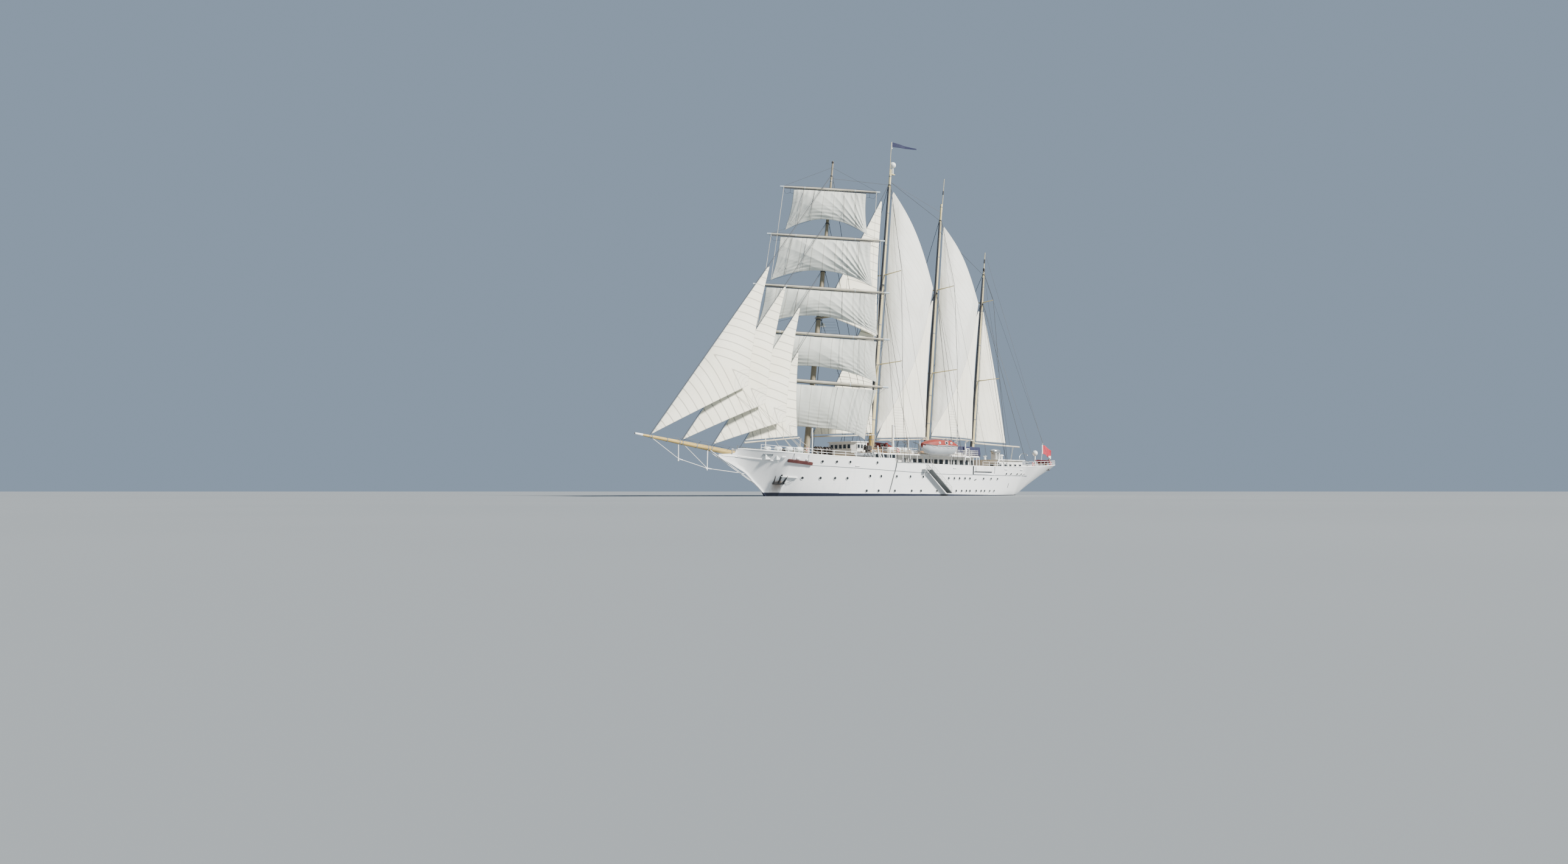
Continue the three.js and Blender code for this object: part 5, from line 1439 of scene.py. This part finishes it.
SIDES = {"port": 1, "starboard": -1}
gunwale_xs = np.linspace(-0.49, 0.49, 24)
gunwale_rows = fair(LIFEBOAT[:, 0], LIFEBOAT[:, 1:], gunwale_xs)
LOOP_DROPS = (0.006, 0.028, 0.028, 0.006)
for word, side in SIDES.items():
    x, y, z = -0.12, side * 0.76, 0.845
    lifeboat = at(smooth(boat(LIFEBOAT, True), 40), x, y, z)
    lifeboat.name = f"lifeboat_{word}_shell"
    place(lifeboat, "root", "boat_orange", finish["boat_shell"], finish["canopy_orange"], replaces=[f"lifeboat_{word}"])
    for face in lifeboat.data.polygons:
        face.material_index = int(face.center.z > z + 0.058)
    extras = []
    lean = Matrix.Rotation(math.radians(14), 4, "X")
    for out, heading in ((1, 0), (-1, 180)):
        for wx, wide, tall in ((-0.03, 0.075, 0.055), (-0.17, 0.05, 0.035), (0.17, 0.05, 0.035)):
            pane = framed(wide, tall)
            pane.data.transform(turned_to(x + wx, y + out * 0.139, z + 0.105, heading) @ lean)
            extras.append(pane)
    fender, grab = [], []
    for out in (1, -1):
        fender.append([(x + dx, y + out * (row[0] + 0.002), z + row[2]) for dx, row in zip(gunwale_xs, gunwale_rows)])
        for k in range(2, 20, 3):
            loop = zip(gunwale_xs[k:k + 4], gunwale_rows[k:k + 4], LOOP_DROPS)
            grab.append([(x + dx, y + out * (row[0] + 0.006), z + row[2] - drop) for dx, row, drop in loop])
    hatch = turned((x - 0.33, y, z + 0.12), [[0.035, 0], [0.035, 0.03], [0.028, 0.045], [0.01, 0.05]], 16)
    hatch.data.materials.append(finish["canopy_orange"])
    rudder = block((x - 0.505, y - 0.006, z - 0.075), (x - 0.455, y + 0.006, z + 0.03), 0.003)
    rudder.data.materials.append(finish["white_metal"])
    place(fuse(f"lifeboat_{word}_panes", extras + [hatch, rudder]), "root", "boat_orange")
    place(lines(f"lifeboat_{word}_fender", fender, 0.007), "root", "iron_black", finish["rope_dark"])
    falls = []
    for hook, arm in ((-0.36, -0.43), (0.3, 0.19)):
        for dy in (-0.006, 0.006):
            falls.append([(x + hook, y + dy, z + 0.13), (arm, side * (0.69 + dy), 1.03)])
    place(lines(f"lifeboat_{word}_lines", grab + falls, 0.0022), "root", "wire_grey", finish["rope_pale"])

# Open boats: place, finish of the shell, finish of the fittings, slot, and the node that the shell replaces.
OPEN_BOATS = {
    "stern_boat_shell": ((-4.31, 0.26, 0.66), "boat_red", "teak_trim", "boat_red", ["stern_boat"]),
    "tender": ((1.78, 0.62, 0.655), "boat_shell", "steel", "house_white", []),
}
edge_xs = np.linspace(-0.235, 0.228, 16)
edge_rows = fair(STERN_BOAT[:, 0], STERN_BOAT[:, [1, 3]], edge_xs)
for name, (where, shell_finish, fitting_finish, slot_name, replaced) in OPEN_BOATS.items():
    open_boat = boat(STERN_BOAT, False, 18)
    modify(open_boat, "SOLIDIFY", thickness=0.005, offset=-1)
    thwarts = [block((dx - 0.012, -0.062, 0.038), (dx + 0.012, 0.062, 0.043), 0.001) for dx in (-0.1, 0.0, 0.1)]
    chocks = [block((dx - 0.008, -0.04, -0.03), (dx + 0.008, 0.04, 0.004), 0.002) for dx in (-0.1, 0.1)]
    engine = block((-0.27, -0.018, 0.02), (-0.232, 0.018, 0.095), 0.006)
    edges = [[(dx, s * wide, top + 0.001) for dx, (wide, top) in zip(edge_xs, edge_rows)] for s in (1, -1)]
    gunwale = lines("gunwale", edges, 0.005)
    skin = at(fuse(name, [smooth(open_boat, 40), gunwale]), *where)
    place(skin, "root", slot_name, finish[shell_finish], replaces=replaced)
    fittings = at(fuse(f"{name}_fittings", thwarts + chocks + [engine]), *where)
    place(fittings, "root", slot_name, finish[fitting_finish])
print("boats: 2 lifeboats, a tender and a stern boat")

# %% [markdown]
# ## Canvas over the deck
# The navy awning is one sheet, laid over its frame and tied down: it is full in the middle, dips between the hoops, and
# its sides hang. It starts as a grid, wrapped over the frame's box, and each side gets slack folds at its hem. The same
# helper drapes a cover over the stack of sunbeds in front of it.

# %% Awning
def draped(low, high, hang_by, top=0.62):
    """A square sheet folded over a box with soft edges."""
    low, high = np.array(low), np.array(high)
    half_size, centre = (high - low)[:2] / 2, (high + low)[:2] / 2

    def point(u, v):
        a, b = 2 * u - 1, 2 * v - 1
        over_a, over_b = (np.maximum(0, np.abs(c) - top) / (1 - top) for c in (a, b))
        x = centre[0] + half_size[0] * np.sign(a) * np.minimum(np.abs(a) / top, 1) * (0.97 + 0.02 * over_a)
        y = centre[1] + half_size[1] * np.sign(b) * np.minimum(np.abs(b) / top, 1) * (0.97 + 0.02 * over_b)
        hang = np.maximum(over_a, over_b)
        sag = 0.012 * np.cos(a * 9.4) * (1 - np.minimum(1, np.abs(b) / top) ** 2)
        z = high[2] - 0.008 + sag * (hang == 0) - hang_by * hang - 0.01 * np.abs(np.sin(8 * a + 5 * b)) * hang
        ripple = 0.006 * np.sin(26 * a + 21 * b) * hang
        return np.stack([x - ripple * (over_a > 0) * np.sign(a), y - ripple * (over_b > 0) * np.sign(b), z], 1)

    return point


def plain_cut(u, v, _):
    """Four panels, a hem all round, and no corner patches."""
    far = np.full_like(u, 9.0)
    return u, v * 4, np.minimum(np.minimum(u, 1 - u), np.minimum(v, 1 - v)), far


awning = sail("awning_cover", draped((-2.04, -0.3, 0.76), (-1.5, 0.3, 0.95), 0.17), plain_cut, 64, 64, 0.003)
place(awning, "root", "cloth_blue", finish["navy_canvas"], replaces=["awning"])
hoops = [[(hx, -0.28, 0.482), (hx, -0.28, 0.925), (hx, 0.28, 0.925), (hx, 0.28, 0.482)] for hx in (-2.02, -1.77, -1.52)]
hoops += [[(-2.02, hy, 0.925), (-1.52, hy, 0.925)] for hy in (-0.28, 0, 0.28)]
place(lines("awning_frame", hoops, 0.006), "root", "house_white", finish["white_metal"])
stack = sail("sunbed_cover", draped((-1.42, -0.1, 0.75), (-1.12, 0.34, 0.955), 0.185, 0.5), plain_cut, 56, 56, 0.003)
place(stack, "root", "cloth_blue", finish["navy_canvas"])
beds = [block((-1.4, -0.085, z), (-1.14, 0.325, z + 0.018), 0.003) for z in np.arange(0.765, 0.93, 0.03)]
beds += [rod((x, y, 0.744), (x, y, 0.94), 0.006) for x in (-1.39, -1.15) for y in (-0.07, 0.31)]
place(fuse("sunbeds", beds), "root", "house_white", finish["teak_trim"])
print("covers: an awning and a stack of sunbeds")

# %% [markdown]
# ## Flags
# Bunting is thin and flies in waves that grow towards the fly. The ensign's hoist strip is white; the pennant is navy.

# %% Flags
def flag(name, point, slot_name, *finishes):
    piece = sail(f"{name}_cloth", point, plain_cut, 48, 14, 0.0016)
    return place(piece, "root", slot_name, *finishes, replaces=[name])


def ensign_point(u, v):
    wave = 0.026 * np.sin(u * 7) * u + 0.006 * np.sin(17 * u + 2 * v) * u
    return np.stack([-4.706 - 0.326 * u, wave, 0.88 + 0.19 * v - 0.11 * u * u], 1)


PENNANT_X = on_mast("main", 6.56, 0.03).x


def pennant_point(u, v):
    taper = 0.09 * (1 - 0.75 * u)
    wave = 0.024 * np.sin(u * 8) * u + 0.004 * np.sin(20 * u) * u
    x = PENNANT_X - 0.008 - 0.4 * u - 0.5 * wave
    return np.stack([x, 0.23 * u + 0.87 * wave, 6.52 - 0.06 * u - (v - 0.5) * taper], 1)


ensign = flag("ensign", ensign_point, "cloth_red", finish["red_bunting"], finish["white_bunting"])
for face in ensign.data.polygons:
    face.material_index = int(face.center.x > -4.735 or (face.center.x < -4.97 and face.center.z < 0.84))
pennant = flag("pennant", pennant_point, "cloth_blue", finish["navy_canvas"])
staff = rod((-4.64, 0, 0.532), (-4.738, 0, 1.1), 0.006, 0.004)
truck = turned((-4.738, 0, 1.096), [[0.004, 0], [0.009, 0.004], [0.009, 0.01], [0.004, 0.014]], 12)
staffs = [staff, truck, block((-4.675, -0.02, 0.56), (-4.62, 0.02, 0.575), 0.003)]
place(fuse("ensign_staff", staffs), "root", "house_white", finish["white_metal"])
staffs = [rod((PENNANT_X - 0.012, 0, 6.45), (PENNANT_X - 0.012, 0, 6.568), 0.004),
          block((PENNANT_X - 0.02, -0.008, 6.44), (PENNANT_X + 0.01, 0.008, 6.452), 0.002)]
place(fuse("pennant_staff", staffs), "root", "house_white", finish["white_metal"])
print("flags ready")

# %% [markdown]
# ## On the hull's side
# Plates, doors and fenders lie on the curved plating. A patch is a grid laid on the plating between two stations and
# two heights, thickened to both sides of where it lies.

# %% Patches on the plating
def patch(low, high, out=0.003, thickness=0.006, across=12, up=4, bend=0.0):
    """A piece of plate on the port side. low and high are its (x, z) corners; bend lifts its fore end."""
    wide, tall = high[0] - low[0], high[1] - low[1]
    piece = bent_grid(across, up, lambda u, v: on_hull(low[0] + wide * u, low[1] + tall * v + bend * u, out))
    modify(piece, "SOLIDIFY", thickness=thickness, offset=0)
    outward(piece)
    return modify(piece, "BEVEL", width=0.0012, segments=1, limit_method="ANGLE")


def hull_run(stops, out):
    """A run of points on the port plating, through (x, z) stops."""
    return [on_hull(x, z, out) for x, z in stops]


whites = [patch((-1.8, 0.457), (-1.254, 0.547), 0.008, 0.014),
          patch((3.57, 0.555), (4.19, 0.565), 0.004, 0.012, 30, 1, bend=0.082),
          patch((3.22, 0.298), (3.47, 0.309), 0.014, 0.032, 10, 1, bend=0.019)]
for x, z in ((3.527, 0.627), (3.296, 0.61), (3.13, 0.593)):
    whites.append(patch((x - 0.026, z - 0.01), (x + 0.026, z + 0.01), 0.011, 0.024, 4, 2))
whites += [patch((x - 0.05, 0.5), (x + 0.05, 0.513), 0.006, 0.014, 3, 1) for x in (2.05, 0.2, -0.6, -2.3, -2.9)]
place(both_sides(fuse("hull_plates", whites)), "root", "hull_white", finish["white_metal"])
# Painted shadow: dark strips inside the white side panel's frame, forward of the panel and under it, where its shadow
# falls. Then a dark slot and a small iron cleat.
painted_shadow_slot_cleat = [patch((-1.2, 0.4), (-1.163, 0.556), 0.001, 0.005, 2, 6),
          patch((-1.8, 0.437), (-1.21, 0.456), 0.001, 0.005, 12, 1),
          patch((-2.507, 0.15), (-2.492, 0.24), 0.001, 0.004, 2, 4),
          patch((-1.28, 0.3), (-1.22, 0.316), 0.004, 0.01, 3, 1, bend=-0.02)]
place(both_sides(fuse("hull_openings", painted_shadow_slot_cleat)), "root", "iron_black", finish["dark_glass"])
fairlead = both_sides(patch((3.705, 0.649), (3.838, 0.677), 0.001, 0.004, 6, 2, bend=0.004))
fairlead.name = "bow_fairlead"
place(fairlead, "root", "steel_grey", finish["steel"])
plank = both_sides(patch((3.03, 0.505), (3.46, 0.552), 0.022, 0.026, 14, 3, bend=0.048))
plank.name = "fender_plank"
place(plank, "root", "boat_red", finish["plank_red"])
# The plank's hangers, the door's rail, the anchor's pendant, the gangway door's gutter and the fairlead's edge.
side_lines = [[on_hull(x, rail_z(x) - 0.01, 0.006), on_hull(x, z, 0.034)] for x, z in ((3.12, 0.545), (3.38, 0.57))]
side_lines.append(hull_run([(1.11, 0.455), (1.09, 0.57)] + [(x, 0.586) for x in np.linspace(1.06, 0.05, 9)], 0.004))
pendant = on_hull(3.34, 0.225, 0.03)
side_lines += [[on_hull(3.252, 0.29, 0.05), pendant], [pendant, on_hull(3.48, 0.17, 0.004)]]
side_lines.append(hull_run([(-1.163, 0.398), (-1.5, 0.398), (-1.89, 0.398), (-1.89, 0.55)], 0.005))
side_lines.append(hull_run([(3.7, 0.645), (3.843, 0.649), (3.843, 0.682), (3.7, 0.678), (3.7, 0.645)], 0.004))
place(both_sides(lines("hull_side_lines", side_lines, 0.0045)), "root", "steel_grey", finish["steel"])
pipe_stops = [(1.076, 0.62), (1.08, 0.56), (1.092, 0.5), (1.116, 0.43), (1.15, 0.36), (1.2, 0.21), (1.252, 0.065)]
pipe = lines("overboard_pipe", [hull_run(pipe_stops, 0.008)], 0.0078)
place(both_sides(pipe), "root", "iron_black", finish["ladder_grey"])
for word, side in SIDES.items():
    def bower(dx, z, out):
        x, y, z = on_hull(3.465 + dx, z, out)
        return x, side * y, z

    flukes = [rod(bower(s * 0.05, 0.21, 0.02), bower(s * 0.068, 0.33, 0.03), 0.014, 0.005) for s in (-1, 1)]
    shank = [rod(bower(0, 0.35, 0.018), bower(0, 0.2, 0.02), 0.012),
             rod(bower(-0.062, 0.207, 0.02), bower(0.062, 0.207, 0.02), 0.016)]
    place(fuse(f"bower_anchor_{word}", flukes + shank), "root", "iron_black", finish["black_iron"])
print("patches made")

# %% [markdown]
# ## Deck gear
# Life raft canisters, ventilators, lockers, benches, hatches, winches, bollards and lifebuoys fill the decks. Each kind
# is modelled once and copied to its places, and kinds that share a finish become one piece.

# %% Deck gear
def in_pairs(spots):
    """Each (x, y, z) to port and to starboard."""
    return [(x, side * y, z) for x, y, z in spots for side in (1, -1)]


def spread(piece, spots):
    """Copies of a piece at spots, each with x, y, z and, where it is turned, a heading."""
    return copies(piece, [turned_to(*spot) for spot in spots])


RAFT = [[0.018, -0.07], [0.034, -0.058], [0.036, -0.03], [0.038, -0.028], [0.038, -0.02], [0.036, -0.018],
        [0.036, 0.018], [0.038, 0.02], [0.038, 0.028], [0.036, 0.03], [0.034, 0.058], [0.018, 0.07]]
raft = lay_along(turned((0, 0, 0), RAFT, 20))
cradle = [block((dx - 0.006, -0.035, -0.075), (dx + 0.006, 0.035, -0.028), 0.002) for dx in (-0.04, 0.04)]
raft = fuse("raft", [raft] + cradle)
bow_rafts = in_pairs([(x, rail_y(x) - 0.1, 0.765) for x in (3.22, 3.4, 3.58, 3.75)])
waist_rafts = in_pairs([(x, 0.55, SUN_DECK + 0.076) for x in (0.62, 0.8, 1.0)])
rafts = spread(raft, bow_rafts + waist_rafts)
stands = [block((x - 0.06, y - 0.03, FORE_DECK), (x + 0.06, y + 0.03, 0.69), 0.004) for x, y, _ in bow_rafts]
place(fuse("life_rafts", rafts + stands), "root", "dome_white", finish["gel_white"])

VENT = [[0.022, 0], [0.022, 0.075], [0.025, 0.08], [0.045, 0.084], [0.045, 0.094], [0.03, 0.108], [0.008, 0.112]]
VENTS = [(0.1, 0.22, SUN_DECK), (-1.1, 0.3, SUN_DECK), (1.5, 0.45, SUN_DECK), (2.15, 0.42, 0.54),
         (-2.9, 0.2, 0.709), (-3.62, 0.42, 0.49), (2.5, 0.25, FORE_DECK)]
vents = spread(turned((0, 0, 0), VENT, 20), in_pairs(VENTS))
LOCKERS = in_pairs([(x, 0.57, SUN_DECK) for x in (-0.95, -0.05, 0.38)])
LOCKERS += [(-4.1, 0, 0.508, 90), (2.05, 0.3, 0.51, 90), (2.05, -0.3, 0.51, 90)]
lockers = spread(block((-0.09, -0.035, 0), (0.09, 0.035, 0.055), 0.006), LOCKERS)
place(fuse("vents_and_lockers", vents + lockers), "root", "house_white", finish["house_paint"])

seat = block((-0.1, -0.022, 0.036), (0.1, 0.022, 0.044), 0.002)
back = block((-0.1, 0.02, 0.05), (0.1, 0.026, 0.082), 0.002)
legs = [block((dx - 0.005, -0.018, 0), (dx + 0.005, 0.022, 0.04), 0.001) for dx in (-0.08, 0.08)]
bench = fuse("bench", [seat, back] + legs)
BENCHES = [(x, y, SUN_DECK, turn) for x in (-0.78, -0.3, 0.2, 0.5, 1.2) for y, turn in ((0.24, 0), (-0.24, 180))]
benches = spread(bench, BENCHES)
hatch = block((-0.16, -0.13, 0), (0.16, 0.13, 0.045), 0.006)
hatches = spread(hatch, [(2.15, 0, 0.54), (-3.75, 0, 0.495), (-0.98, 0, SUN_DECK), (2.93, 0, FORE_DECK)])
place(fuse("benches_and_hatches", benches + hatches), "root", "house_white", finish["teak_trim"])

DRUM = [[0.05, -0.07], [0.05, -0.062], [0.032, -0.058], [0.028, -0.02], [0.05, -0.014], [0.05, 0.0],
        [0.03, 0.004], [0.03, 0.05], [0.05, 0.054], [0.05, 0.062]]
drum = lay_along(turned((0, 0, 0), DRUM, 20))
frame_sides = [block((x - 0.008, -0.05, -0.2), (x + 0.008, 0.05, 0.02), 0.004) for x in (-0.08, 0.07)]
winch = fuse("mooring_winch", [drum, rod((-0.1, 0, 0), (0.09, 0, 0), 0.012)] + frame_sides)
winches = spread(winch, in_pairs([(2.52, 0.44, 0.775), (2.74, 0.44, 0.775)]))
place(fuse("mooring_winches", winches), "root", "iron_black", finish["black_iron"])

BOLLARD = [[0.016, 0], [0.013, 0.006], [0.013, 0.04], [0.018, 0.044], [0.018, 0.052], [0.008, 0.056]]
bollard = turned((0, 0, 0), BOLLARD, 14)
bed = block((-0.055, -0.02, -0.002), (0.055, 0.02, 0.006), 0.002)
pair = fuse("bollards", copies(bollard, [(-0.03, 0, 0), (0.03, 0, 0)]) + [bed])
BOLLARDS = in_pairs([(x, rail_y(x) - 0.085, deck_z(x)) for x in (3.75, 2.62, 1.85, -2.2, -3.4, -4.3)])
chain = []
for side in (1, -1):
    links = [(3.69 + 0.015 * k, side * 0.1, 0.66 - 0.02 * k) for k in range(4)]
    chain.append(links + [(3.86, side * 0.12, 0.59)])
irons = spread(pair, BOLLARDS) + [lines("chain", chain, 0.006)]
place(fuse("bollards_and_chain", irons), "root", "iron_black", finish["black_iron"])

ops.mesh.primitive_torus_add(
    major_radius=0.03, minor_radius=0.008, major_segments=20, minor_segments=8, rotation=(math.pi / 2, 0, 0)
)
ring = settle(bpy.context.object)
for face in ring.data.polygons:
    angle = math.degrees(math.atan2(face.center.z, face.center.x)) % 90
    face.material_index = int(angle < 22)
ring.data.materials.append(finish["lamp_red"])
ring.data.materials.append(finish["white_metal"])
RINGS = [(3.12, rail_y(3.12) - 0.03, 0.755), (0.95, 0.676, 0.8),
         (-3.4, rail_y(-3.4) - 0.02, 0.63), (-4.3, rail_y(-4.3) - 0.02, 0.66)]
place(both_sides(fuse("lifebuoys", spread(ring, RINGS))), "root", "boat_orange")
print("rafts:", len(rafts), "vents:", len(vents), "benches:", len(benches))

# %% [markdown]
# Poles, frames and lamps stand between the boats: three poles on each side, a white lamp post, raking stanchions under
# the sun deck's fore end, a frame for the boat's falls, a hooped guard, and a curved lamp over the after deck. Poles
# and frames are tubes, so each is a line. Dark panes fill the waist as painted shade, for the deep shade there.

# %% Posts and frames
def in_plane(y, stops):
    """Points through (x, z) stops, all at one distance from the ship's middle."""
    return [(x, y, z) for x, z in stops]


# Columns: x, y, foot, top.
POLES = [(2.995, 0.55, 0.58, 1.11), (0.57, 0.6, 0.6, 1.02), (-0.88, 0.6, 0.5, 1.29)]
# Columns: x and height of the top, x of the foot.
RAKING = [(1.662, 0.795, 1.6), (1.525, 0.861, 1.475), (1.467, 0.748, 1.41), (1.395, 0.749, 1.34), (1.23, 0.732, 1.22)]
# (x, z) stops.
FALLS_FRAME = [(-0.95, 0.5), (-1.048, 0.877), (-1.125, 0.877), (-1.18, 0.5)]
FRAME_BAR = [(-1.0, 0.72), (-1.15, 0.72)]
GUARD = [(-2.03, 0.54), (-2.05, 0.64), (-2.1, 0.68), (-2.145, 0.69), (-2.2, 0.68), (-2.25, 0.64), (-2.27, 0.54)]
tubes = [in_plane(y, [(x, low), (x, high)]) for x, y, low, high in POLES]
tubes += [in_plane(0.7, [(low_x, 0.6), (top_x, top_z)]) for top_x, top_z, low_x in RAKING]
tubes += [in_plane(0.69, stops) for stops in (FALLS_FRAME, FRAME_BAR, GUARD)]
place(both_sides(lines("frames_and_stanchions", tubes, 0.011)), "root", "house_white", finish["white_metal"])
lamp_post = [rod((0.636, 0.3, SUN_DECK), (0.636, 0.3, 1.27), 0.02), rod((0.636, 0.3, 1.262), (0.59, 0.3, 1.262), 0.006),
             turned((0.585, 0.3, 1.24), [[0.01, 0], [0.016, 0.006], [0.012, 0.03], [0.004, 0.034]], 14)]
place(fuse("lamp_post", lamp_post), "root", "house_white", finish["white_metal"])
LAMP_ARM = [(-3.35, 0.5), (-3.36, 0.7), (-3.39, 0.79), (-3.45, 0.84), (-3.53, 0.858), (-3.61, 0.85), (-3.663, 0.83)]
arm = lines("after_lamp", [in_plane(0.3, LAMP_ARM)], 0.005)
lamp = turned((-3.668, 0.3, 0.81), [[0.012, 0], [0.016, 0.004], [0.012, 0.022], [0.005, 0.026]], 14)
place(fuse("after_lamp", [arm, lamp]), "root", "steel_grey", finish["steel"])
# Painted shade: dark panes along the waist's edge, between the raking stanchions, where the sun deck leaves deep shade.
shade_panes = spread(framed(0.1, 0.09, 0.006, 0.006), [(x, 0.672, 0.698) for x in np.arange(1.07, 1.68, 0.112)])
place(both_sides(fuse("waist_screen", shade_panes)), "root", "house_white")
print("tubes:", len(tubes), "screens:", 2 * len(shade_panes))

# %% [markdown]
# The gangway gets its treads' bed and its rails, which move with it. A cabinet and a covered dinghy stand on deck.

# %% Gangway, cabinet and dinghy
top, foot = Vector((0.25, 0.827, 0.475)), Vector((-0.33, 0.827, 0.06))
way = foot - top
# The bed is dark grey: grey treads, and painted shade for the shade under the gangway and its shadow on the plating.
tread_bed = block((0.0, -0.05, 0.006), (way.length, 0.05, 0.014), 0.002)
tread_bed.data.transform(Matrix.Translation(top) @ Matrix.Rotation(math.pi - math.atan2(-way.z, -way.x), 4, "Y"))
place(settle(tread_bed, "gangway_bed"), "gangway", "steel_grey", finish["ladder_grey"])
outer, rail_rise = 0.059, 0.1
gangway_rails = []
for dy, rises in ((outer, (0, 0.05, rail_rise)), (-outer, (rail_rise,))):
    gangway_rails += [[top + Vector((0, dy, rise)), foot + Vector((0, dy, rise))] for rise in rises]
for share in np.linspace(0, 1, 9):
    post_foot = top + way * share + Vector((0, outer, 0))
    gangway_rails.append([post_foot, post_foot + Vector((0, 0, rail_rise))])
place(lines("gangway_rails", gangway_rails, 0.0052), "gangway", "house_white", finish["white_metal"])
cabinet = [block((1.5, 0.45, 0.79), (1.61, 0.55, 0.866), 0.006), block((1.52, 0.47, 0.5), (1.59, 0.53, 0.792), 0.003)]
place(fuse("deck_cabinet", cabinet), "root", "iron_black", finish["black_iron"])
dinghy = boat(LIFEBOAT * (0.26, 0.5, 0.36, 0.36, 0.36), True, 20)
dinghy.name = "covered_dinghy"
place(at(smooth(dinghy, 40), -2.47, 0.35, 0.85), "root", "steel_grey", finish["steel"])
racks = [block((x - 0.008, 0.29, 0.7), (x + 0.008, 0.41, 0.835), 0.002) for x in (-2.53, -2.41)]
place(fuse("dinghy_rack", racks), "root", "house_white", finish["white_metal"])
print("gangway:", round(way.length, 2), "m long")

# %% [markdown]
# ## Rudder and propeller
# Both are below the waterline. The rudder is a plate with a rounded nose that thins towards its trailing edge, so it is
# skinned like the hull. A propeller blade is a flat grid, twisted more at its root than at its tip, thickened and
# smoothed. One blade is modelled, and four copies are turned about the shaft.

# %% Rudder and propeller
STOCK_X = -3.29
RUDDER_LEAD = 0.022


def rudder_point(u, v):
    """u goes round the plate from its nose and back, and v goes up."""
    turn = 2 * u * math.pi
    s = (1 - math.cos(turn)) / 2
    trail = -0.15 + 0.02 * v
    low_edge, top_edge = -0.54 + 0.02 * s, float(np.interp(s, (0, 0.5, 1), (-0.125, -0.11, -0.16)))
    thick = 0.017 * math.sqrt(max(0.0, s)) * (1 - s) * 2.6 + 0.0035 * s
    y = math.copysign(thick, math.sin(turn)) if 0 < s < 1 else 0.0
    return STOCK_X + RUDDER_LEAD + (trail - RUDDER_LEAD) * s, y, low_edge + (top_edge - low_edge) * v


rudder_plate = close_rims(bent_grid(24, 10, rudder_point), 1e-4)
hinges = [block((STOCK_X - 0.06, -0.0185, z), (STOCK_X + 0.024, 0.0185, z + 0.022), 0.002) for z in (-0.2, -0.44)]
rudder_parts = [smooth(rudder_plate, 40), rod((STOCK_X, 0, -0.13), (STOCK_X, 0, -0.087), 0.012)] + hinges
place(fuse("rudder_plate", rudder_parts), "rudder", "hull_white", finish["hull_paint"], replaces=["rudder"])

BLADES = 4
HUB = [[0.004, -0.052], [0.014, -0.046], [0.021, -0.03], [0.025, 0.02], [0.026, 0.058], [0.01, 0.06]]


def blade_point(u, v):
    """u goes across the blade, and v goes out from the hub."""
    s = 2 * u - 1
    wide = float(np.interp(v, (0, 0.3, 0.62, 0.85, 0.96, 1), (0.015, 0.033, 0.043, 0.036, 0.02, 0.006)))
    pitch = 0.9 - 0.48 * v
    return math.sin(pitch) * wide * s + 0.004 * (1 - s * s), math.cos(pitch) * wide * s, 0.016 + 0.123 * v


blade = bent_grid(8, 10, blade_point)
modify(blade, "SOLIDIFY", thickness=0.006, offset=0)
modify(blade, "SUBSURF", levels=1, render_levels=1)
blades = copies(smooth(blade, 60), [Matrix.Rotation(2 * math.pi * k / BLADES, 4, "X") for k in range(BLADES)])
hub = lay_along(turned((0, 0, 0), HUB, 28))
screw = fuse("propeller_blades", blades + [hub])
place(at(screw, -2.995, 0, -0.37), "propeller", "bronze", finish["bronze"], replaces=["propeller"])
print("propeller faces:", len(screw.data.polygons))

# %% [markdown]
# ## Finishes of the frame's own solids
# The solids whose shape is right stay, with a finish of their own.

# %% Finish the frame's solids
NODES_BY_FINISH = {
    "hull_paint": ("hull", "rudder"),
    "sprit_gold": ("bowsprit",),
    "foremast_tan": ("fore_mast",),
    "spar_buff": ("main_mast", "mizzen_mast", "jigger_mast"),
    "house_paint": ("main_deckhouse", "wheelhouse", "aft_deckhouse", "fore_deckhouse"),
    "black_iron": ("windlass", "anchor_port", "anchor_starboard"),
    "gel_white": ("radome", "stern_dome"),
    "boat_red": ("ensign", "stern_boat"),
    "rope_dark": ("pennant", "awning"),
    "ladder_grey": ("gangway",),
    "white_metal": ("gangway_platform", "davits_port", "davits_starboard", "rail_port", "rail_starboard"),
    "bronze": ("propeller",),
    "boat_shell": ("lifeboat_port", "lifeboat_starboard"),
}
node_finish = {name: kind for kind, names in NODES_BY_FINISH.items() for name in names}
for name, solid in nodes.items():
    kind = node_finish.get(name, "wire_grey" if name.endswith("_rigging") else "yard_cream")
    solid.data.materials.clear()
    solid.data.materials.append(finish[kind])
print("solids finished:", len(nodes))

# %% Count the pieces made
print("pieces made:", len(made_pieces))
